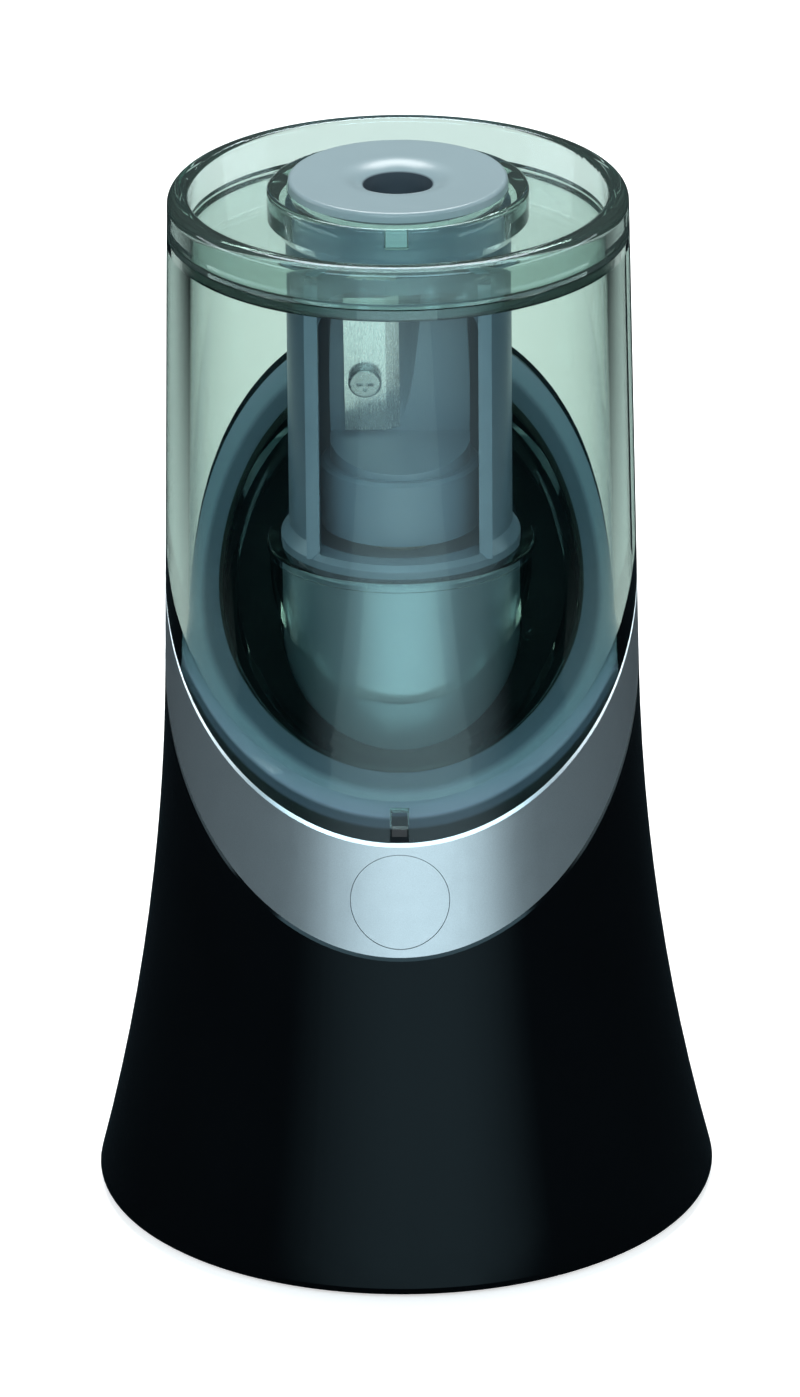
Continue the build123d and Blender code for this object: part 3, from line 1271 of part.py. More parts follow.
with BuildPart() as interlock_pin:
    with BuildSketch(interlock_plane.offset(interlock_switch_top - BUTTON_STEM)):
        Circle(INTERLOCK_PIN_RADIUS)
    extrude(amount=RIM_HEIGHT - interlock_switch_top)
    split(bisect_by=pin_top, keep=Keep.BOTTOM)
interlock_pin.part.label = "interlock_pin"
export_step(interlock_pin.part, "parts/interlock_pin.step")

# Receptacle: thick outer wall, slanted floor, chimney round the tower and a locating spigot
with BuildPart() as receptacle_floor:
    revolve(solid_section(RECEPTACLE_WALL / 2), axis=Axis.Z)
    split(bisect_by=seat, keep=Keep.TOP)
    split(bisect_by=floor_top, keep=Keep.BOTTOM)

with BuildPart() as receptacle_spigot:
    with BuildSketch():
        Circle(OPENING_RADIUS - SPIGOT_CLEARANCE)
        Circle(OPENING_RADIUS - SPIGOT_CLEARANCE - SPIGOT_WALL, mode=Mode.SUBTRACT)
    extrude(amount=RIM_HEIGHT)
    split(bisect_by=spigot_end, keep=Keep.TOP)
    split(bisect_by=floor_top, keep=Keep.BOTTOM)

with BuildPart() as receptacle_chimney:
    with BuildSketch():
        Circle(chimney_outer)
    extrude(amount=chimney_top)
    with BuildSketch(Plane.XY.offset(chimney_top)):
        Circle(chimney_outer + CHIMNEY_BEAD)
    extrude(amount=-CHIMNEY_BEAD_HEIGHT)
    fillet(receptacle_chimney.edges().group_by(Axis.Z)[-1], CHIMNEY_BEAD)
    split(bisect_by=seat, keep=Keep.TOP)

with BuildPart() as receptacle_notch:
    with BuildSketch():
        with Locations((0, nib_place + NIB_DEPTH + NIB_CLEARANCE)):
            Rectangle(
                NIB_WIDTH + 2 * NIB_CLEARANCE, RECEPTACLE_WALL * 2, align=(Align.CENTER, Align.MAX)
            )
    extrude(amount=RIM_HEIGHT)
    split(bisect_by=notch_top, keep=Keep.BOTTOM)

rebate_radius = bell_radius(seam) - REBATE_WALL
with BuildPart() as receptacle:
    revolve(wall_section(0, RECEPTACLE_WALL), axis=Axis.Z)
    split(bisect_by=seat, keep=Keep.TOP)
    split(bisect_by=Plane.XY.offset(seam), keep=Keep.BOTTOM)
    add(receptacle_floor.part)
    add(receptacle_spigot.part)
    add(receptacle_chimney.part)
    with BuildSketch():
        Circle(chimney_inner)
    extrude(amount=RIM_HEIGHT, mode=Mode.SUBTRACT)
    with BuildSketch(Plane.XY.offset(lid_plate_under - SEAT_GAP)):
        Circle(rebate_radius)
    extrude(amount=LID_PLATE + SEAT_GAP, mode=Mode.SUBTRACT)
    add(receptacle_notch.part, mode=Mode.SUBTRACT)
receptacle.part.label = "receptacle"
export_step(receptacle.part, "parts/receptacle.step")

# Slot for the guide's key, through the sleeve's neck and into the collar's bore
with BuildPart() as key_slot:
    with BuildSketch(Plane.XY.offset(guide_seat)):
        with Locations((0, -(sleeve_bore + KEY_REACH))):
            Rectangle(KEY_WIDTH + 2 * KEY_CLEARANCE, sleeve_bore, align=(Align.CENTER, Align.MIN))
    extrude(amount=-(KEY_HEIGHT + KEY_CLEARANCE))

# Lid: a rim that continues the receptacle's wall round a recessed plate with a collar
lid_inner = RIM_RADIUS - LID_WALL
lip_radius = rebate_radius - REBATE_CLEARANCE
with BuildPart() as receptacle_lid:
    with BuildSketch(Plane.XZ) as lid_section:
        with BuildLine():
            Polyline(
                (COLLAR_BORE, lid_plate_under),
                (lip_radius, lid_plate_under),
                (lip_radius, lid_plate_top),
                (bell_radius(lid_plate_top), lid_plate_top),
                (RIM_RADIUS, RIM_HEIGHT),
                (lid_inner, RIM_HEIGHT),
                (lid_inner, lid_plate_top),
                (COLLAR_RADIUS - COLLAR_STEP, lid_plate_top),
                (COLLAR_RADIUS, lid_plate_top + COLLAR_CHAMFER_HEIGHT),
                (COLLAR_RADIUS, collar_top),
                (guide_seat_radius, collar_top),
                (guide_seat_radius, guide_seat),
                (COLLAR_BORE, guide_seat),
                close=True,
            )
        make_face()
        outer_corner = lid_section.vertices().sort_by_distance((RIM_RADIUS, RIM_HEIGHT))[0]
        fillet(outer_corner, LID_OUTER_ROUND)
        inner_corner = lid_section.vertices().sort_by_distance((lid_inner, RIM_HEIGHT))[0]
        fillet(inner_corner, LID_INNER_ROUND)
        collar_corner = lid_section.vertices().sort_by_distance((COLLAR_RADIUS, collar_top))[0]
        fillet(collar_corner, COLLAR_ROUND)
    revolve(axis=Axis.Z)
    add(key_slot.part, mode=Mode.SUBTRACT)
receptacle_lid.part.label = "receptacle_lid"
export_step(receptacle_lid.part, "parts/receptacle_lid.step")

# Cutter sleeve: a grey tube with its neck in the lid's collar, open at the front
sleeve_foot = tower_top + SLEEVE_FOOT_GAP
sleeve_foot_top = sleeve_foot + SLEEVE_FOOT_HEIGHT
rib_place = WINDOW_WIDTH / 2 + RIB_WIDTH / 2
with BuildPart() as cutter_sleeve:
    with BuildSketch(Plane.XZ) as sleeve_section:
        with BuildLine():
            Polyline(
                (sleeve_bore, sleeve_foot),
                (sleeve_foot_radius, sleeve_foot),
                (sleeve_foot_radius, sleeve_foot_top),
                (SLEEVE_RADIUS, sleeve_foot_top + SLEEVE_FOOT_SLOPE),
                (SLEEVE_RADIUS, lid_plate_under),
                (sleeve_neck, lid_plate_under),
                (sleeve_neck, guide_seat),
                (sleeve_bore, guide_seat),
                close=True,
            )
        make_face()
        fillet(sleeve_section.vertices().sort_by(Axis.X)[-2:], SLEEVE_FOOT_ROUND)
    revolve(axis=Axis.Z)
    with BuildSketch(Plane.XY.offset(sleeve_foot_top)):
        with Locations((rib_place, -RIB_FACE), (-rib_place, -RIB_FACE)):
            Rectangle(RIB_WIDTH, RIB_FACE, align=(Align.CENTER, Align.MIN))
        Circle(sleeve_bore, mode=Mode.SUBTRACT)
    extrude(amount=lid_plate_under - WINDOW_LINTEL - sleeve_foot_top)
    with BuildSketch(Plane.XZ) as window:
        with Locations((0, sleeve_foot_top + WINDOW_SILL)):
            Rectangle(
                WINDOW_WIDTH,
                lid_plate_under - WINDOW_LINTEL - sleeve_foot_top - WINDOW_SILL,
                align=(Align.CENTER, Align.MIN),
            )
        fillet(window.vertices().group_by(Axis.Y)[-1], WINDOW_ROUND)
    extrude(amount=2 * SLEEVE_RADIUS, mode=Mode.SUBTRACT)
    add(key_slot.part, mode=Mode.SUBTRACT)
cutter_sleeve.part.label = "cutter_sleeve"
export_step(cutter_sleeve.part, "parts/cutter_sleeve.step")

# Pencil guide: a grey disc with a funnel, a skirt in the sleeve, a key and a guide tube
skirt_radius = sleeve_bore - GUIDE_CLEARANCE
guide_disc_under = guide_seat + KEY_CLEARANCE / 2
tube_radius = PENCIL_HOLE_RADIUS + GUIDE_TUBE_WALL
with BuildPart() as pencil_guide:
    with BuildSketch(Plane.XZ) as guide_section:
        with BuildLine():
            outline = Polyline(
                (PENCIL_HOLE_RADIUS, guide_top - FUNNEL_DEPTH),
                (PENCIL_HOLE_RADIUS, guide_tube_bottom),
                (tube_radius, guide_tube_bottom),
                (tube_radius, guide_disc_under),
                (skirt_radius - GUIDE_SKIRT_WALL, guide_disc_under),
                (skirt_radius - GUIDE_SKIRT_WALL, guide_disc_under - GUIDE_SKIRT_DEPTH),
                (skirt_radius, guide_disc_under - GUIDE_SKIRT_DEPTH),
                (skirt_radius, guide_disc_under),
                (GUIDE_RADIUS, guide_disc_under),
                (GUIDE_RADIUS, guide_top),
                (FUNNEL_RADIUS, guide_top),
            )
            TangentArc(outline @ 1, outline @ 0, tangent=(-1, 0))
        make_face()
        fillet(guide_section.vertices().sort_by_distance((GUIDE_RADIUS, guide_top))[0], GUIDE_ROUND)
    revolve(axis=Axis.Z)
    with BuildSketch(Plane.XY.offset(guide_disc_under)):
        with Locations((0, -(sleeve_bore + KEY_REACH - KEY_CLEARANCE))):
            Rectangle(KEY_WIDTH, KEY_REACH + GUIDE_CLEARANCE, align=(Align.CENTER, Align.MIN))
    extrude(amount=-KEY_HEIGHT)
pencil_guide.part.label = "pencil_guide"
export_step(pencil_guide.part, "parts/pencil_guide.step")
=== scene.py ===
"""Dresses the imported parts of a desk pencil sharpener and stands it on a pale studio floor."""

from math import cos, pi, radians, sin

import bmesh
import bpy
from bpy.props import FloatProperty, FloatVectorProperty, IntProperty, PointerProperty
from mathutils import Matrix, Vector


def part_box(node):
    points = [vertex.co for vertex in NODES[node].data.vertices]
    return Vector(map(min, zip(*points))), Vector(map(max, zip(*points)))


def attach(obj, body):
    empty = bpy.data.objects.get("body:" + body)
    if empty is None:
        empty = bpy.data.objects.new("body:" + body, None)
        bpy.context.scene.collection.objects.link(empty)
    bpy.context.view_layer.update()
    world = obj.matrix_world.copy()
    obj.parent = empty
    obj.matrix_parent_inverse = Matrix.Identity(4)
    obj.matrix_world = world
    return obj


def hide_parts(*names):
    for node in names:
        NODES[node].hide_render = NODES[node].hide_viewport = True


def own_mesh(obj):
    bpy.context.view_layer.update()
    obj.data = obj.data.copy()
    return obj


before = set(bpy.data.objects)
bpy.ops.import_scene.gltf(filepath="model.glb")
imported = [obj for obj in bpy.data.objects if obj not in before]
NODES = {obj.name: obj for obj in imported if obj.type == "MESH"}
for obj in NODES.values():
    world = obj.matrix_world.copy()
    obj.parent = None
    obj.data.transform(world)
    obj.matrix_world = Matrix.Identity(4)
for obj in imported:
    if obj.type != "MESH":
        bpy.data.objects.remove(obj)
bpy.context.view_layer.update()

bl_info = {
    "name": "Desk Pencil Sharpener",
    "version": (1, 0, 0),
    "blender": (4, 5, 0),
    "location": "View3D > Sidebar > Sharpener",
    "description": "Finishes, springs and studio for a desk pencil sharpener with a clear receptacle",
    "category": "Object",
}

MILLIMETRE = 0.001

# Depth of the grain on the smoothest mouldings
FINE_GRAIN = 0.001 * MILLIMETRE

# Most values of a noise pattern lie between these two
NOISE_LOW = 0.3
NOISE_HIGH = 0.7


def colour(name, description, default):
    """A colour that the user can change, in linear light."""
    return FloatVectorProperty(
        name=name, description=description, subtype="COLOR", size=3, min=0, max=1, default=default
    )


def point(name, description, default):
    """A place in the studio, in metres."""
    return FloatVectorProperty(
        name=name, description=description, subtype="TRANSLATION", unit="LENGTH", default=default
    )


def length(name, description, default):
    """A length in metres."""
    return FloatProperty(name=name, description=description, unit="LENGTH", default=default)


def share(name, description, default):
    """A number from 0 to 1."""
    return FloatProperty(
        name=name, description=description, subtype="FACTOR", min=0, max=1, default=default
    )


def number(name, description, default):
    """A plain number that isn't negative."""
    return FloatProperty(name=name, description=description, min=0, default=default)


def count(name, description, default):
    """A whole number of at least 1."""
    return IntProperty(name=name, description=description, min=1, default=default)


def angle(name, description, degrees):
    """An angle, given in degrees."""
    return FloatProperty(
        name=name, description=description, subtype="ANGLE", default=radians(degrees)
    )


def power(name, description, default):
    """The power of a lamp in watts."""
    return FloatProperty(name=name, description=description, unit="POWER", min=0, default=default)


class SharpenerColours(bpy.types.PropertyGroup):
    """Colours of the sharpener's plastics and metals."""

    shell_black: colour("Shell black", "Polished bell-shaped base", (0.0016, 0.0022, 0.0028))
    shell_sheen: colour("Shell sheen", "Tint of the base's reflections", (0.6, 0.88, 1.0))
    silver: colour("Silver", "Satin paint of the slanted band", (0.52, 0.62, 0.67))
    smoke: colour("Smoke", "Light that a thick clear wall lets through", (0.25, 0.5, 0.43))
    smoke_sheen: colour("Smoke sheen", "Tint of the clear plastic's reflections", (0.72, 0.9, 1.0))
    smoke_shadow: colour("Smoke shadow", "Tint of the light behind a wall", (0.86, 0.92, 0.9))
    smoke_skin: colour("Smoke skin", "Tint that the receptacle's surface adds", (0.84, 0.91, 0.88))
    lid_skin: colour("Lid skin", "Tint that the surface of the lid's plate adds", (0.74, 0.86, 0.83))
    rim_skin: colour("Rim skin", "Tint that the surface of the lid's rim adds", (0.57, 0.68, 0.65))
    guide_grey: colour("Guide grey", "Pencil guide on top", (0.3, 0.4, 0.43))
    graphite: colour("Graphite", "Smudged bore of the pencil guide", (0.07, 0.095, 0.115))
    sleeve_grey: colour("Sleeve grey", "Metal-flake sleeve round the cutter", (0.125, 0.168, 0.235))
    tower_grey: colour("Tower grey", "Metal-flake tower under the sleeve", (0.32, 0.385, 0.52))
    face_grey: colour("Face grey", "Light zone of the band's flat face", (0.29, 0.295, 0.435))
    face_dark: colour("Face dark", "Inner zone of that face", (0.11, 0.115, 0.19))
    # The margin and gap colours are painted shade: the dark band that the thick foot of the clear
    # receptacle makes over the face's outer edge
    face_margin_shade: colour("Face margin", "Outer margin of that face", (0.055, 0.07, 0.11))
    face_gap_shade: colour("Face gap", "Edge of that face, under the clear wall", (0.006, 0.008, 0.011))
    screw_grey: colour("Screw grey", "Blade screw", (0.36, 0.38, 0.4))
    deck_black: colour("Deck black", "Matte deck inside the band", (0.003, 0.004, 0.005))
    plate_black: colour("Plate black", "Base plate, door and switches", (0.02, 0.022, 0.024))
    nylon: colour("Nylon", "Gears, frame and other natural mouldings", (0.74, 0.72, 0.65))
    cast_grey: colour("Cast grey", "Cutter head and drive hub", (0.1, 0.145, 0.21))
    steel: colour("Steel", "Blade, spindle, screws and springs", (0.6, 0.62, 0.64))
    plated: colour("Plated steel", "Motor can and armature", (0.46, 0.47, 0.48))
    ferrite: colour("Ferrite", "Magnets in the motor", (0.055, 0.055, 0.06))
    brass: colour("Brass", "Pinion, commutator and terminals", (0.7, 0.49, 0.2))
    bronze: colour("Bronze", "Oiled sintered bushes", (0.17, 0.14, 0.11))
    cell_wrap: colour("Cell wrap", "Plain sleeve of the battery cells", (0.05, 0.085, 0.1))
    rubber: colour("Rubber", "Feet", (0.02, 0.02, 0.021))


class SharpenerFinishes(bpy.types.PropertyGroup):
    """Gloss, tint, painted zones and spring sizes."""

    shell_roughness: share("Shell roughness", "How soft the black base's reflections are", 0.1)
    shell_shine: share("Shell shine", "How strong the black base's reflections are", 0.16)
    silver_roughness: share("Silver roughness", "How soft the band's sheen is", 0.31)
    silver_metal: share("Silver metal", "How metallic the band's paint is", 0.85)
    bore_radius: length("Bore radius", "Bore of the pencil guide", 5.9 * MILLIMETRE)
    face_tilt: angle("Face tilt", "Slant of the flat face inside the band", 39.4)
    face_height: length("Face height", "Height of that face on the axis", 114.6 * MILLIMETRE)
    inside_radius: length("Inside radius", "No silver inside this radius", 33.6 * MILLIMETRE)
    opening_radius: length("Opening radius", "Black opening of that face", 31.4 * MILLIMETRE)
    opening_shift: length("Opening shift", "How far back the opening's middle is", 0.6 * MILLIMETRE)
    opening_blur: share("Opening blur", "Share of the face where the opening's black ends", 0.01)
    face_span: length("Face span", "Width of the face that its zones share", 9.0 * MILLIMETRE)
    light_start: share("Light start", "Where in that width the light zone starts", 0.38)
    light_blur: share("Light blur", "Share of that width where the inner zone turns light", 0.13)
    # The margin and the gap below are painted shade under the foot of the clear wall, not a colour of
    # the face itself
    shade_margin_start: share("Margin start", "Where in that width the dark margin starts", 0.74)
    shade_margin_blur: share("Margin blur", "Share of that width where the light zone ends", 0.07)
    shade_gap_start: share("Gap start", "Where in that width the face's dark edge starts", 0.92)
    shade_gap_blur: share("Gap blur", "Share of that width where the margin ends", 0.06)
    rim_radius: length("Rim radius", "Where the plate of the lid meets its rim", 34.0 * MILLIMETRE)
    lid_haze: share("Lid haze", "How hazy the lid is", 0.03)
    smoke_roughness: share("Smoke roughness", "How soft the clear plastic's gloss is", 0.012)
    smoke_density: number("Smoke density", "Absorption of the receptacle per metre", 80)
    lid_density: number("Lid density", "Absorption of the thinner lid per metre", 50)
    smoke_bend: number("Smoke bend", "Refractive index of the clear plastic", 1.49)
    spring_wire: length("Spring wire", "Radius of the spring wire", 0.35 * MILLIMETRE)
    spring_turns: count("Spring turns", "Turns of the start spring", 4)
    contact_turns: count("Contact turns", "Turns of each battery contact spring", 2)


class SharpenerStudio(bpy.types.PropertyGroup):
    """Camera, floor and lamps."""

    camera_distance: length("Camera distance", "From the camera to the aim", 1.7)
    camera_rise: angle("Camera rise", "How far the camera looks down", 23.05)
    camera_turn: angle("Camera turn", "How far the camera stands to the right", 1.0)
    camera_roll: angle("Camera roll", "Tilt of the camera about its own line of sight", -0.52)
    camera_lens: number("Camera lens", "Focal length in millimetres", 252.9)
    aim_height: length("Aim height", "Height of the point that is aimed at", 92.8 * MILLIMETRE)
    aim_drop: length("Aim drop", "How far below it the picture is centred", 2.82 * MILLIMETRE)
    aim_side: length("Aim side", "How far left of it the picture is centred", 0.39 * MILLIMETRE)
    floor_side: length("Floor side", "Half the floor's width at the front", 0.16)
    floor_front: length("Floor front", "How far the floor reaches towards the camera", 0.9)
    floor_back: length("Floor back", "How far the floor reaches behind", 1.2)
    floor_flare: number("Floor flare", "How much wider the floor is behind", 3.5)
    flare_start: length("Flare start", "How far behind the axis the floor gets wider", 0.1)
    fade_core: length("Fade core", "Where the floor behind clear plastic starts to fade", 0.08)
    fade_reach: length("Fade reach", "Where the floor behind clear plastic is dark", 0.4)
    floor_glow: share("Floor glow", "White that the floor adds where the camera sees it", 0.6)
    glass_glow: share("Glass glow", "White that the floor adds behind clear plastic", 0.3)
    floor_white: colour("Floor white", "Pale studio floor", (0.9, 0.9, 0.9))
    studio_grey: colour("Studio grey", "Dim walls of the studio", (0.5, 0.8, 1.0))
    wall_level: share("Wall level", "Light that the walls give", 0.02)
    lamp_aim: point("Lamp aim", "Place that the lamps point at", (0, 0, 0.09))
    top_lamp: power("Top lamp", "Soft box above and behind", 24.0)
    front_lamp: power("Front lamp", "Wide soft box above the camera", 15.0)
    strip_lamps: power("Strip lamps", "Narrow soft box on each side", 3.2)
    card_lamp: power("Card lamp", "Low card that leans in front and fades to its sides", 7.6)
    card_near: point("Card near", "Middle of the card's near edge", (0, -0.16, 0.002))
    card_far: point("Card far", "Middle of the card's far edge", (0, -0.9, 0.35))
    card_width: length("Card width", "Width of the card", 2.2)
    card_core: number("Card core", "Side over depth where the fading starts", 0.1)
    card_reach: number("Card reach", "Side over depth where the card is dark", 1.2)
    card_shift: number("Card shift", "Side over depth of the card's middle", 0.14)
    lamp_blue: colour("Lamp blue", "Cool tint of the front lamp", (0.76, 0.93, 1.0))
    card_blue: colour("Card blue", "Cool tint of the card", (0.85, 0.96, 1.0))


def blank_material(name):
    """A new node material with its shader."""
    material = bpy.data.materials.new(name)
    material.use_nodes = True
    return material, material.node_tree, material.node_tree.nodes["Principled BSDF"]


def rest_place(tree):
    """Where a point of a part is at rest, in metres."""
    return tree.nodes.new("ShaderNodeTexCoord").outputs["Object"]


def studio_axes(tree):
    """Where a point is in the studio, one output for each axis."""
    place = tree.nodes.new("ShaderNodeNewGeometry")
    axes = tree.nodes.new("ShaderNodeSeparateXYZ")
    tree.links.new(place.outputs["Position"], axes.inputs["Vector"])
    return axes.outputs


def calculate(tree, operation, *terms):
    """Result of one calculation. Each term is a plain number or comes from another node."""
    sum_node = tree.nodes.new("ShaderNodeMath")
    sum_node.operation = operation
    for socket, term in zip(sum_node.inputs, terms):
        if isinstance(term, bpy.types.NodeSocket):
            tree.links.new(term, socket)
        else:
            socket.default_value = term
    return sum_node.outputs["Value"]


def remap(tree, value, start, end, low=0.0, high=1.0, smooth=False):
    """Take a value from start and end to low and high, and hold it beyond them."""
    span = tree.nodes.new("ShaderNodeMapRange")
    span.interpolation_type = "SMOOTHSTEP" if smooth else "LINEAR"
    span.inputs["From Min"].default_value = start
    span.inputs["From Max"].default_value = end
    span.inputs["To Min"].default_value = low
    span.inputs["To Max"].default_value = high
    tree.links.new(value, span.inputs["Value"])
    return span.outputs["Result"]


def switch_shaders(tree, mask, first, second):
    """The first shader where a mask is nought, and the second where it is one."""
    mix = tree.nodes.new("ShaderNodeMixShader")
    tree.links.new(mask, mix.inputs["Fac"])
    tree.links.new(first, mix.inputs[1])
    tree.links.new(second, mix.inputs[2])
    return mix.outputs["Shader"]


def mottle(tree, scale, detail=3.0, stretch=(1, 1, 1)):
    """Noise on object coordinates, with scale in features per metre."""
    mapping = tree.nodes.new("ShaderNodeMapping")
    mapping.inputs["Scale"].default_value = stretch
    noise = tree.nodes.new("ShaderNodeTexNoise")
    noise.inputs["Scale"].default_value = scale
    noise.inputs["Detail"].default_value = detail
    tree.links.new(rest_place(tree), mapping.inputs["Vector"])
    tree.links.new(mapping.outputs["Vector"], noise.inputs["Vector"])
    return noise.outputs["Fac"]


def vary_colour(tree, shader, pattern, base, spread):
    """Let a pattern move the colour between a darker and a lighter shade."""
    ramp = tree.nodes.new("ShaderNodeValToRGB")
    low, high = ramp.color_ramp.elements
    low.position = NOISE_LOW
    high.position = NOISE_HIGH
    low.color = (*[channel * (1 - spread) for channel in base], 1)
    high.color = (*[min(1, channel * (1 + spread)) for channel in base], 1)
    tree.links.new(pattern, ramp.inputs["Fac"])
    tree.links.new(ramp.outputs["Color"], shader.inputs["Base Color"])


def vary_roughness(tree, shader, pattern, roughness, spread):
    """Let a pattern move the roughness by a share of itself."""
    low = roughness * (1 - spread)
    high = min(1, roughness * (1 + spread))
    varied = remap(tree, pattern, NOISE_LOW, NOISE_HIGH, low, high)
    tree.links.new(varied, shader.inputs["Roughness"])


def raise_grain(tree, shader, pattern, depth, strength):
    """Fine relief from a pattern, with its depth in metres."""
    bump = tree.nodes.new("ShaderNodeBump")
    bump.inputs["Distance"].default_value = depth
    bump.inputs["Strength"].default_value = strength
    tree.links.new(pattern, bump.inputs["Height"])
    tree.links.new(bump.outputs["Normal"], shader.inputs["Normal"])


def round_mask(tree, radius, soft, shift=0.0):
    """Nought inside an upright cylinder and one outside it."""
    flat = tree.nodes.new("ShaderNodeMapping")
    flat.inputs["Location"].default_value = (0, -shift, 0)
    flat.inputs["Scale"].default_value = (1, 1, 0)
    distance = tree.nodes.new("ShaderNodeVectorMath")
    distance.operation = "LENGTH"
    tree.links.new(rest_place(tree), flat.inputs["Vector"])
    tree.links.new(flat.outputs["Vector"], distance.inputs[0])
    return remap(tree, distance.outputs["Value"], radius, radius + soft)


def blend(tree, mask, low, high):
    """Mix of two colours by a mask. Each is a plain colour or comes from another node."""
    mix = tree.nodes.new("ShaderNodeMix")
    mix.data_type = "RGBA"
    tree.links.new(mask, mix.inputs["Factor"])
    ends = [socket for socket in mix.inputs if socket.type == "RGBA"]
    for end, tone in zip(ends, (low, high)):
        if isinstance(tone, bpy.types.NodeSocket):
            tree.links.new(tone, end)
        else:
            end.default_value = (*tone, 1)
    return next(socket for socket in mix.outputs if socket.type == "RGBA")


def moulded_plastic(name, base, roughness, specular=0.5, grain_depth=0.003 * MILLIMETRE, flake=0.0):
    """Moulded plastic with faint flow marks, uneven gloss, a fine grain and a share of metal flake."""
    material, tree, shader = blank_material(name)
    shader.inputs["Metallic"].default_value = flake
    shader.inputs["Specular IOR Level"].default_value = specular
    vary_colour(tree, shader, mottle(tree, scale=60), base, spread=0.02)
    vary_roughness(tree, shader, mottle(tree, scale=250), roughness, spread=0.04)
    raise_grain(tree, shader, mottle(tree, scale=4000), grain_depth, strength=0.25)
    return material


def drawn_metal(name, base, roughness, stretch=(1, 1, 1)):
    """Metal with fine lines along the direction that its pattern is stretched in."""
    material, tree, shader = blank_material(name)
    shader.inputs["Metallic"].default_value = 1.0
    lines = mottle(tree, scale=900, detail=2.0, stretch=stretch)
    vary_colour(tree, shader, lines, base, spread=0.12)
    vary_roughness(tree, shader, lines, roughness, spread=0.35)
    raise_grain(tree, shader, lines, depth=0.006 * MILLIMETRE, strength=0.3)
    return material


def polished_black(colours, finishes):
    """Polished black plastic with a very slight orange peel and faint handling marks."""
    material, tree, shader = blank_material("shell_black")
    shader.inputs["Specular IOR Level"].default_value = finishes.shell_shine
    shader.inputs["Specular Tint"].default_value = (*colours.shell_sheen, 1)
    handling = mottle(tree, scale=120, detail=5.0)
    orange_peel = mottle(tree, scale=700, detail=1.0)
    vary_colour(tree, shader, mottle(tree, scale=25), colours.shell_black, spread=0.15)
    vary_roughness(tree, shader, handling, finishes.shell_roughness, spread=0.35)
    raise_grain(tree, shader, orange_peel, depth=0.004 * MILLIMETRE, strength=0.2)
    return material


def ring_colours(tree, colours, finishes):
    """Black opening and the zones of the slanted face, by distance from the opening's middle. The two
    outer zones are painted shade, where the foot of the clear wall sits over the face.
    """
    zones = tree.nodes.new("ShaderNodeValToRGB")
    ramp = zones.color_ramp
    ramp.elements[0].color = (*colours.deck_black, 1)
    ramp.elements[1].color = (*colours.face_gap_shade, 1)
    for position, tone in (
        (finishes.opening_blur, colours.face_dark),
        (finishes.light_start - finishes.light_blur, colours.face_dark),
        (finishes.light_start, colours.face_grey),
        (finishes.shade_margin_start - finishes.shade_margin_blur, colours.face_grey),
        # Painted shade: the dark margin and gap under the foot of the clear wall
        (finishes.shade_margin_start, colours.face_margin_shade),
        (finishes.shade_gap_start - finishes.shade_gap_blur, colours.face_margin_shade),
        (finishes.shade_gap_start, colours.face_gap_shade),
    ):
        ramp.elements.new(position).color = (*tone, 1)
    distance = round_mask(tree, finishes.opening_radius, finishes.face_span, finishes.opening_shift)
    tree.links.new(distance, zones.inputs["Fac"])
    return zones.outputs["Color"]


def satin_silver(colours, finishes):
    """Silver paint with metal flake on the band, and plain grey on its flat face and nib, with painted
    shade at the face's outer edge under the clear wall.
    """
    material, tree, shader = blank_material("satin_silver")
    flake = mottle(tree, scale=7000, detail=1.0)
    vary_colour(tree, shader, flake, colours.silver, spread=0.06)
    vary_roughness(tree, shader, mottle(tree, scale=400), finishes.silver_roughness, spread=0.08)
    paint = shader.inputs["Base Color"].links[0].from_socket

    rise = tree.nodes.new("ShaderNodeVectorMath")
    rise.operation = "DOT_PRODUCT"
    rise.inputs[1].default_value = (0, -sin(finishes.face_tilt), cos(finishes.face_tilt))
    tree.links.new(rest_place(tree), rise.inputs[0])
    face_rise = finishes.face_height * cos(finishes.face_tilt)
    paint_end = face_rise - 0.03 * MILLIMETRE
    grey_start = face_rise - 0.02 * MILLIMETRE
    on_face = remap(tree, rise.outputs["Value"], paint_end, grey_start)

    outside = round_mask(tree, finishes.inside_radius, soft=0.1 * MILLIMETRE)
    below_face = remap(tree, on_face, 0.0, 1.0, low=finishes.silver_metal, high=0.0)
    metal = calculate(tree, "MULTIPLY", below_face, outside)
    tree.links.new(metal, shader.inputs["Metallic"])

    ring = ring_colours(tree, colours, finishes)
    band = blend(tree, outside, ring, paint)
    tree.links.new(blend(tree, on_face, band, ring), shader.inputs["Base Color"])
    return material


def smoke_clear(name, colours, finishes, skin, density, haze=0.0):
    """Thick clear plastic with a smoke tint. Rays towards lamps pass straight through it."""
    material, tree, shader = blank_material(name)
    shader.inputs["Base Color"].default_value = (*skin, 1)
    shader.inputs["Specular Tint"].default_value = (*colours.smoke_sheen, 1)
    shader.inputs["Transmission Weight"].default_value = 1.0 - haze
    shader.inputs["IOR"].default_value = finishes.smoke_bend
    vary_roughness(tree, shader, mottle(tree, scale=90), finishes.smoke_roughness, spread=0.6)
    tint = tree.nodes.new("ShaderNodeVolumeAbsorption")
    tint.inputs["Color"].default_value = (*colours.smoke, 1)
    tint.inputs["Density"].default_value = density
    passing = tree.nodes.new("ShaderNodeBsdfTransparent")
    passing.inputs["Color"].default_value = (*colours.smoke_shadow, 1)
    to_lamp = tree.nodes.new("ShaderNodeLightPath").outputs["Is Shadow Ray"]
    surface = switch_shaders(tree, to_lamp, shader.outputs["BSDF"], passing.outputs["BSDF"])
    output = tree.nodes["Material Output"]
    tree.links.new(surface, output.inputs["Surface"])
    tree.links.new(tint.outputs["Volume"], output.inputs["Volume"])
    return material


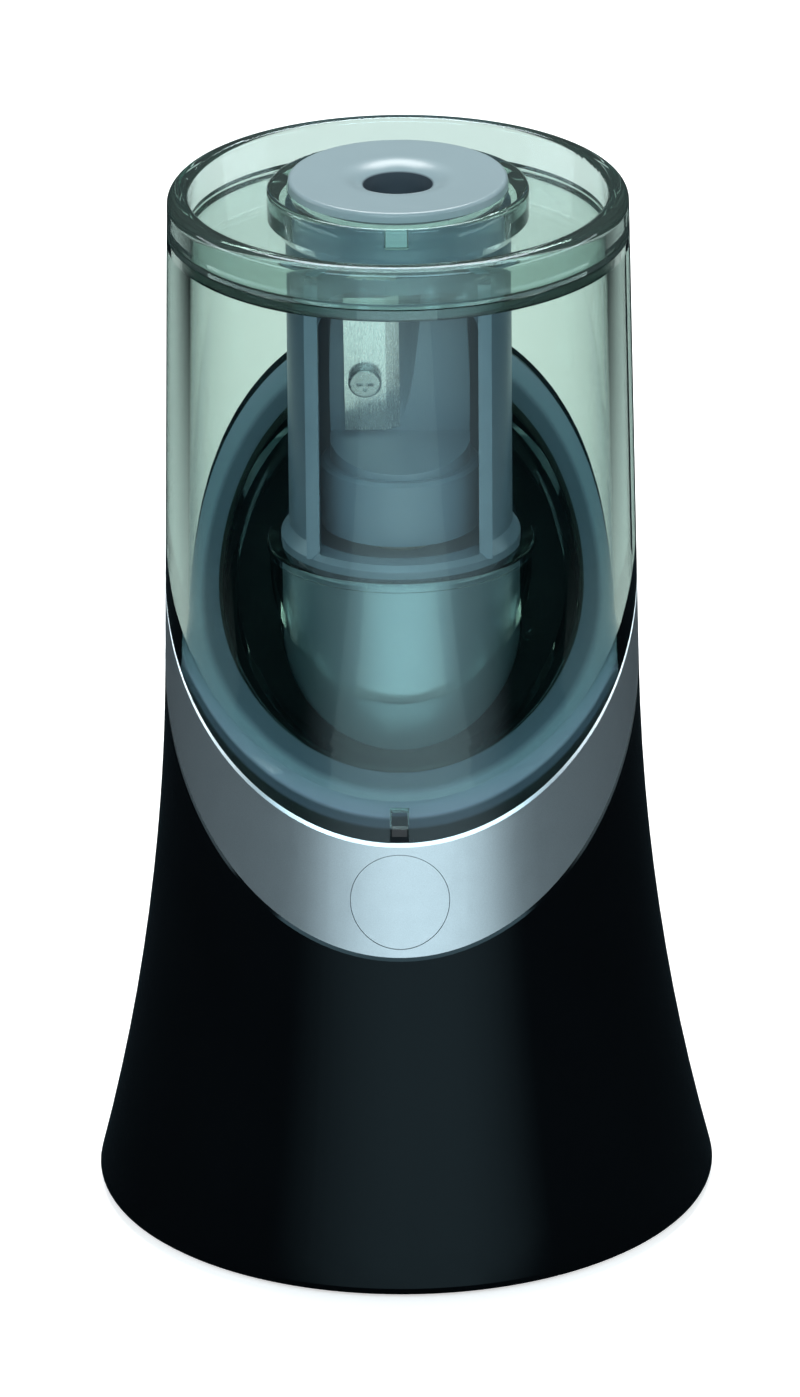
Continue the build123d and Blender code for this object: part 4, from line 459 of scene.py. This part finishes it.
def smoke_lid(colours, finishes):
    """Clear plastic that is a little hazy, with a stronger tint on the lid's rim than its plate."""
    material = smoke_clear(
        "smoke_lid",
        colours,
        finishes,
        skin=colours.lid_skin,
        density=finishes.lid_density,
        haze=finishes.lid_haze,
    )
    tree = material.node_tree
    rim = round_mask(tree, finishes.rim_radius, soft=1.0 * MILLIMETRE)
    skin = blend(tree, rim, colours.lid_skin, colours.rim_skin)
    tree.links.new(skin, tree.nodes["Principled BSDF"].inputs["Base Color"])
    return material


def smudged_guide(colours, finishes):
    """Grey plastic whose bore is dark with graphite."""
    material = moulded_plastic("guide_grey", colours.guide_grey, roughness=0.3)
    tree = material.node_tree
    shader = tree.nodes["Principled BSDF"]
    plain = shader.inputs["Base Color"].links[0].from_socket
    bore = round_mask(tree, finishes.bore_radius, soft=0.3 * MILLIMETRE)
    tree.links.new(blend(tree, bore, colours.graphite, plain), shader.inputs["Base Color"])
    return material


def dress(material, *names):
    """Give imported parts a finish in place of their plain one."""
    for name in names:
        for slot in NODES[name].material_slots:
            slot.material = material


def add_piece(name, shape, material, body):
    """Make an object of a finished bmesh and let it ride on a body."""
    mesh = bpy.data.meshes.new(name)
    shape.to_mesh(mesh)
    shape.free()
    for face in mesh.polygons:
        face.use_smooth = True
    mesh.materials.append(material)
    piece = bpy.data.objects.new(name, mesh)
    bpy.context.scene.collection.objects.link(piece)
    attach(piece, body)
    return piece


def wind_coil(shape, radius, height, turns, wire, place):
    """Add one closed coil of round wire to a bmesh, standing on the XY plane of place."""
    wire_sides = 12
    steps_per_turn = 32
    steps = turns * steps_per_turn
    ring = bmesh.ops.create_circle(
        shape,
        cap_ends=False,
        radius=wire,
        segments=wire_sides,
        matrix=Matrix.Translation((radius, 0, wire)) @ Matrix.Rotation(pi / 2, 4, "X"),
    )
    first = ring["verts"]
    edges = list({edge for vertex in first for edge in vertex.link_edges})
    spun = bmesh.ops.spin(
        shape,
        geom=first + edges,
        cent=(0, 0, 0),
        axis=(0, 0, 1),
        dvec=(0, 0, (height - 2 * wire) / steps),
        angle=2 * pi * turns,
        steps=steps,
        use_merge=False,
        use_duplicate=False,
    )
    last = [item for item in spun["geom_last"] if isinstance(item, bmesh.types.BMEdge)]
    bmesh.ops.holes_fill(shape, edges=edges + last, sides=0)

    # The shape may hold other coils, so only what is joined to the first ring moves
    coil = set(first)
    reached = list(first)
    while reached:
        vertex = reached.pop()
        for edge in vertex.link_edges:
            other = edge.other_vert(vertex)
            if other not in coil:
                coil.add(other)
                reached.append(other)
    bmesh.ops.transform(shape, matrix=place, verts=list(coil))


class SHARPENER_OT_stage(bpy.types.Operator):
    """Pale floor, soft lamps, dim studio walls and the camera"""

    bl_idname = "sharpener.stage"
    bl_label = "Studio"

    def execute(self, context):
        studio = context.scene.sharpener_studio
        self.lay_floor(context, studio)
        self.light_world(context, studio)
        self.hang_lamps(context, studio)
        self.lean_card(context, studio)
        self.set_camera(context, studio)
        context.scene.view_settings.view_transform = "Standard"
        return {"FINISHED"}

    def floor_material(self, studio):
        """Matte floor that is white to the camera, and darker to its sides behind clear plastic."""
        material, tree, shader = blank_material("floor_white")
        vary_colour(tree, shader, mottle(tree, scale=8), studio.floor_white, spread=0.01)
        shader.inputs["Roughness"].default_value = 0.9
        shader.inputs["Specular IOR Level"].default_value = 0.1
        shader.inputs["Emission Color"].default_value = (1, 1, 1, 1)
        path = tree.nodes.new("ShaderNodeLightPath")
        to_camera = path.outputs["Is Camera Ray"]
        through_glass = path.outputs["Is Transmission Ray"]

        behind_glass = calculate(tree, "MULTIPLY", through_glass, studio.glass_glow)
        glow = calculate(tree, "MULTIPLY_ADD", to_camera, studio.floor_glow, behind_glass)
        tree.links.new(glow, shader.inputs["Emission Strength"])

        side = calculate(tree, "ABSOLUTE", studio_axes(tree)["X"])
        fade = remap(tree, side, studio.fade_core, studio.fade_reach, smooth=True)
        dimmed = calculate(tree, "MULTIPLY", fade, through_glass)
        dark = tree.nodes.new("ShaderNodeEmission")
        dark.inputs["Strength"].default_value = 0.0
        top = switch_shaders(tree, dimmed, shader.outputs["BSDF"], dark.outputs["Emission"])

        underside = tree.nodes.new("ShaderNodeNewGeometry").outputs["Backfacing"]
        clear = tree.nodes.new("ShaderNodeBsdfTransparent")
        surface = switch_shaders(tree, underside, top, clear.outputs["BSDF"])
        tree.links.new(surface, tree.nodes["Material Output"].inputs["Surface"])
        return material

    def lay_floor(self, context, studio):
        """Floor that is narrow in front and wider behind."""
        front, back = -studio.floor_front, studio.floor_back
        cells = 8
        shape = bmesh.new()
        bmesh.ops.create_grid(shape, x_segments=cells, y_segments=cells, size=1)
        bmesh.ops.scale(shape, vec=(studio.floor_side, (back - front) / 2, 1), verts=shape.verts)
        bmesh.ops.translate(shape, vec=(0, (front + back) / 2, 0), verts=shape.verts)
        behind = [vertex for vertex in shape.verts if vertex.co.y > studio.flare_start]
        bmesh.ops.scale(shape, vec=(studio.floor_flare, 1, 1), verts=behind)
        mesh = bpy.data.meshes.new("floor")
        shape.to_mesh(mesh)
        shape.free()
        mesh.materials.append(self.floor_material(studio))
        floor = bpy.data.objects.new("floor", mesh)
        floor.visible_glossy = False
        context.scene.collection.objects.link(floor)

    def light_world(self, context, studio):
        """Dim walls that are white to the camera."""
        world = bpy.data.worlds.new("studio")
        context.scene.world = world
        world.use_nodes = True
        tree = world.node_tree
        walls = tree.nodes["Background"]
        walls.inputs["Color"].default_value = (*studio.studio_grey, 1)
        walls.inputs["Strength"].default_value = studio.wall_level
        backdrop = tree.nodes.new("ShaderNodeBackground")
        backdrop.inputs["Color"].default_value = (1, 1, 1, 1)
        to_camera = tree.nodes.new("ShaderNodeLightPath").outputs["Is Camera Ray"]
        dim, white = walls.outputs["Background"], backdrop.outputs["Background"]
        surface = switch_shaders(tree, to_camera, dim, white)
        tree.links.new(surface, tree.nodes["World Output"].inputs["Surface"])

    def hang_lamps(self, context, studio):
        """Soft boxes above, in front and on both sides."""
        aim = studio.lamp_aim
        top_size, top_place = (1.0, 0.7), (0, 0.75, 1.45)
        top = self.hang_lamp(context, "top_lamp", studio.top_lamp, top_size, top_place, aim)
        top.visible_transmission = False
        front_size, front_place = (2.0, 0.4), (0, -1.3, 0.95)
        front = self.hang_lamp(
            context, "front_lamp", studio.front_lamp, front_size, front_place, aim
        )
        front.data.color = studio.lamp_blue
        strip_size = (1.2, 0.2)
        for name, strip_place in (
            ("left_strip", (-1.0, -0.1, 0.5)),
            ("right_strip", (1.0, -0.1, 0.5)),
        ):
            self.hang_lamp(context, name, studio.strip_lamps, strip_size, strip_place, aim)

    def hang_lamp(self, context, name, watts, size, place, aim):
        """One rectangular lamp at a place, turned to its aim."""
        lamp = bpy.data.lights.new(name, "AREA")
        lamp.energy = watts
        lamp.shape = "RECTANGLE"
        lamp.size, lamp.size_y = size
        holder = bpy.data.objects.new(name, lamp)
        holder.location = place
        holder.rotation_euler = (Vector(aim) - Vector(place)).to_track_quat("-Z", "Y").to_euler()
        context.scene.collection.objects.link(holder)
        return holder

    def lean_card(self, context, studio):
        """Low lit card in front that leans away and fades to its sides."""
        near, far = Vector(studio.card_near), Vector(studio.card_far)
        middle = (near + far) / 2
        facing = Vector((0, far.z - near.z, near.y - far.y))
        size = (studio.card_width, (far - near).length)
        aim = middle + facing
        holder = self.hang_lamp(context, "front_card", studio.card_lamp, size, middle, aim)
        holder.visible_camera = False
        lamp = holder.data
        lamp.color = studio.card_blue
        lamp.use_nodes = True
        tree = lamp.node_tree
        axes = studio_axes(tree)
        side = calculate(tree, "DIVIDE", axes["X"], axes["Y"])
        from_middle = calculate(tree, "ADD", side, studio.card_shift)
        away = calculate(tree, "ABSOLUTE", from_middle)
        core, reach = studio.card_core, studio.card_reach
        fade = remap(tree, away, core, reach, low=1.0, high=0.0, smooth=True)
        tree.links.new(fade, tree.nodes["Emission"].inputs["Strength"])

    def set_camera(self, context, studio):
        """Camera with a long lens, in front and above."""
        turn, rise = studio.camera_turn, studio.camera_rise
        outward = Vector((sin(turn) * cos(rise), -cos(turn) * cos(rise), sin(rise)))
        facing = outward.to_track_quat("Z", "Y").to_matrix().to_4x4()
        facing = facing @ Matrix.Rotation(studio.camera_roll, 4, "Z")
        right, up = facing.col[0].to_3d(), facing.col[1].to_3d()
        aim = Vector((0, 0, studio.aim_height)) - up * studio.aim_drop - right * studio.aim_side
        camera = bpy.data.cameras.new("camera")
        camera.lens = studio.camera_lens
        camera.sensor_width = 36
        camera.clip_end = 20
        holder = bpy.data.objects.new("camera", camera)
        holder.matrix_world = Matrix.Translation(aim + outward * studio.camera_distance) @ facing
        context.scene.collection.objects.link(holder)
        context.scene.camera = holder


class SHARPENER_OT_base_shell(bpy.types.Operator):
    """Polished black bell"""

    bl_idname = "sharpener.base_shell"
    bl_label = "Base shell"

    def execute(self, context):
        scene = context.scene
        dress(polished_black(scene.sharpener_colours, scene.sharpener_finishes), "base_housing")
        return {"FINISHED"}


class SHARPENER_OT_slanted_band(bpy.types.Operator):
    """Satin silver band and its plain round badge"""

    bl_idname = "sharpener.slanted_band"
    bl_label = "Slanted band"

    def execute(self, context):
        scene = context.scene
        silver = satin_silver(scene.sharpener_colours, scene.sharpener_finishes)
        dress(silver, "trim_ring", "badge_disc")
        return {"FINISHED"}


class SHARPENER_OT_clear_parts(bpy.types.Operator):
    """Smoke-clear receptacle and lid"""

    bl_idname = "sharpener.clear_parts"
    bl_label = "Clear parts"

    def execute(self, context):
        scene = context.scene
        colours, finishes = scene.sharpener_colours, scene.sharpener_finishes
        wall = smoke_clear(
            "smoke_clear",
            colours,
            finishes,
            skin=colours.smoke_skin,
            density=finishes.smoke_density,
        )
        dress(wall, "receptacle")
        dress(smoke_lid(colours, finishes), "receptacle_lid")
        return {"FINISHED"}


class SHARPENER_OT_grey_mouldings(bpy.types.Operator):
    """Pencil guide, sleeve and drive tower"""

    bl_idname = "sharpener.grey_mouldings"
    bl_label = "Grey mouldings"

    def execute(self, context):
        colours = context.scene.sharpener_colours
        dress(smudged_guide(colours, context.scene.sharpener_finishes), "pencil_guide")
        sleeve = moulded_plastic(
            "sleeve_grey", colours.sleeve_grey, roughness=0.33, grain_depth=FINE_GRAIN, flake=0.3
        )
        dress(sleeve, "cutter_sleeve")
        tower = moulded_plastic(
            "tower_grey", colours.tower_grey, roughness=0.35, grain_depth=FINE_GRAIN, flake=0.8
        )
        dress(tower, "drive_tower")
        return {"FINISHED"}


class SHARPENER_OT_cutter(bpy.types.Operator):
    """Cutter head, hub, blade and blade screw"""

    bl_idname = "sharpener.cutter"
    bl_label = "Cutter"

    def execute(self, context):
        colours = context.scene.sharpener_colours
        cast = moulded_plastic(
            "cast_grey", colours.cast_grey, roughness=0.38, grain_depth=FINE_GRAIN
        )
        dress(cast, "drive_hub", "cutter_head")
        blade = drawn_metal("blade_steel", colours.steel, roughness=0.22, stretch=(8, 1, 1))
        dress(blade, "cutter_blade")
        screw = drawn_metal("blade_screw_steel", colours.screw_grey, roughness=0.28)
        dress(screw, "blade_screw")
        return {"FINISHED"}


class SHARPENER_OT_black_mouldings(bpy.types.Operator):
    """Deck inside the band, base plate, battery door, switches and feet"""

    bl_idname = "sharpener.black_mouldings"
    bl_label = "Black mouldings"

    def execute(self, context):
        colours = context.scene.sharpener_colours
        deck = moulded_plastic(
            "deck_black", colours.deck_black, roughness=0.6, specular=0.03, grain_depth=FINE_GRAIN
        )
        dress(deck, "inner_deck")
        plate = moulded_plastic("plate_black", colours.plate_black, roughness=0.5, specular=0.4)
        dress(plate, "base_plate", "battery_door", "start_switch", "interlock_switch")
        coarse_grain = 0.03 * MILLIMETRE
        feet = moulded_plastic(
            "foot_rubber", colours.rubber, roughness=0.8, specular=0.2, grain_depth=coarse_grain
        )
        dress(feet, "rubber_feet")
        return {"FINISHED"}


class SHARPENER_OT_drive_train(bpy.types.Operator):
    """Gears, frame, motor, spindle and bushes"""

    bl_idname = "sharpener.drive_train"
    bl_label = "Drive train"

    def execute(self, context):
        colours = context.scene.sharpener_colours
        nylon = moulded_plastic("nylon", colours.nylon, roughness=0.45)
        dress(nylon, "motor_frame", "gear_cover", "compound_gear", "spindle_gear", "thrust_yoke")
        dress(nylon, "start_button", "interlock_pin", "motor_end_cap")
        shafts = drawn_metal("shaft_steel", colours.steel, roughness=0.25, stretch=(1, 1, 0.1))
        dress(shafts, "spindle", "drive_pin", "retaining_clip", "compound_axle", "motor_shaft")
        plated = drawn_metal("plated_steel", colours.plated, roughness=0.35, stretch=(1, 1, 0.2))
        dress(plated, "motor_can", "motor_armature")
        ferrite = moulded_plastic("ferrite", colours.ferrite, roughness=0.6, specular=0.4)
        dress(ferrite, "motor_magnets")
        brass = drawn_metal("brass", colours.brass, roughness=0.3, stretch=(1, 1, 0.3))
        dress(brass, "motor_pinion", "motor_commutator", "motor_terminals")
        bronze = drawn_metal("sintered_bronze", colours.bronze, roughness=0.5)
        dress(bronze, "lower_bush", "upper_bush")
        return {"FINISHED"}


class SHARPENER_OT_power_pack(bpy.types.Operator):
    """Battery cells and contact plates"""

    bl_idname = "sharpener.power_pack"
    bl_label = "Power pack"

    def execute(self, context):
        colours = context.scene.sharpener_colours
        dress(moulded_plastic("cell_wrap", colours.cell_wrap, roughness=0.3), "battery_cells")
        dress(drawn_metal("contact_steel", colours.steel, roughness=0.3), "contact_plates")
        return {"FINISHED"}


class SHARPENER_OT_fasteners(bpy.types.Operator):
    """Screws of the base, frame, cover, tower, deck and motor"""

    bl_idname = "sharpener.fasteners"
    bl_label = "Fasteners"

    def execute(self, context):
        colours = context.scene.sharpener_colours
        zinc = drawn_metal("screw_steel", colours.steel, roughness=0.32)
        dress(zinc, "base_screws", "frame_screws", "cover_screws")
        dress(zinc, "tower_screws", "deck_screws", "motor_screws")
        return {"FINISHED"}


class SHARPENER_OT_springs(bpy.types.Operator):
    """Wound start spring under the yoke and a wound spring behind each battery cell"""

    bl_idname = "sharpener.springs"
    bl_label = "Springs"

    def execute(self, context):
        finishes = context.scene.sharpener_finishes
        colours = context.scene.sharpener_colours
        steel = drawn_metal("spring_steel", colours.steel, roughness=0.25)
        self.wind_start_spring(finishes, steel)
        self.wind_contact_springs(finishes, steel)
        return {"FINISHED"}

    def wind_start_spring(self, finishes, steel):
        """Upright coil as tall as the start spring's box."""
        wire = finishes.spring_wire
        low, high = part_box("start_spring")
        radius = (high.x - low.x) / 2 - wire
        height = high.z - low.z
        place = Matrix.Translation((0, 0, low.z))
        shape = bmesh.new()
        wind_coil(shape, radius, height, finishes.spring_turns, wire, place)
        bmesh.ops.recalc_face_normals(shape, faces=shape.faces)
        spring = add_piece("start_spring_coil", shape, steel, "base")
        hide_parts("start_spring")
        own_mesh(spring)

    def wind_contact_springs(self, finishes, steel):
        """Lying coils, one for each cell, that face forwards and backwards in turn."""
        wire = finishes.spring_wire
        low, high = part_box("contact_springs")
        cells = 4
        reach = (high.z - low.z) / 2
        pitch = (high.x - low.x - 2 * reach) / (cells - 1)
        depth = 4.0 * MILLIMETRE
        shape = bmesh.new()
        for index in range(cells):
            facing = 1 if index % 2 == 0 else -1
            end = low.y if facing > 0 else high.y
            centre = Vector((low.x + reach + index * pitch, end, (low.z + high.z) / 2))
            place = Matrix.Translation(centre) @ Matrix.Rotation(-facing * pi / 2, 4, "X")
            wind_coil(shape, reach - wire, depth, finishes.contact_turns, wire, place)
        bmesh.ops.recalc_face_normals(shape, faces=shape.faces)
        contacts = add_piece("contact_spring_coils", shape, steel, "base")
        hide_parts("contact_springs")


class SHARPENER_PT_panel(bpy.types.Panel):
    """Lists the sharpener's operators and settings"""

    bl_idname = "SHARPENER_PT_panel"
    bl_label = "Pencil sharpener"
    bl_space_type = "VIEW_3D"
    bl_region_type = "UI"
    bl_category = "Sharpener"

    def draw(self, context):
        for operator in OPERATORS:
            self.layout.operator(operator.bl_idname)
        for settings in GROUPS:
            group = getattr(context.scene, settings)
            column = self.layout.column()
            for name in group.__annotations__:
                column.prop(group, name)


GROUPS = {
    "sharpener_colours": SharpenerColours,
    "sharpener_finishes": SharpenerFinishes,
    "sharpener_studio": SharpenerStudio,
}
OPERATORS = [
    SHARPENER_OT_stage,
    SHARPENER_OT_base_shell,
    SHARPENER_OT_slanted_band,
    SHARPENER_OT_clear_parts,
    SHARPENER_OT_grey_mouldings,
    SHARPENER_OT_cutter,
    SHARPENER_OT_black_mouldings,
    SHARPENER_OT_drive_train,
    SHARPENER_OT_power_pack,
    SHARPENER_OT_fasteners,
    SHARPENER_OT_springs,
]


def register():
    for name, group in GROUPS.items():
        bpy.utils.register_class(group)
        setattr(bpy.types.Scene, name, PointerProperty(type=group))
    for operator in OPERATORS:
        bpy.utils.register_class(operator)
    bpy.utils.register_class(SHARPENER_PT_panel)


def unregister():
    bpy.utils.unregister_class(SHARPENER_PT_panel)
    for operator in reversed(OPERATORS):
        bpy.utils.unregister_class(operator)
    for name, group in GROUPS.items():
        delattr(bpy.types.Scene, name)
        bpy.utils.unregister_class(group)


def main():
    register()
    bpy.ops.sharpener.stage()
    bpy.ops.sharpener.base_shell()
    bpy.ops.sharpener.slanted_band()
    bpy.ops.sharpener.clear_parts()
    bpy.ops.sharpener.grey_mouldings()
    bpy.ops.sharpener.cutter()
    bpy.ops.sharpener.black_mouldings()
    bpy.ops.sharpener.drive_train()
    bpy.ops.sharpener.power_pack()
    bpy.ops.sharpener.fasteners()
    bpy.ops.sharpener.springs()


if __name__ == "__main__":
    main()
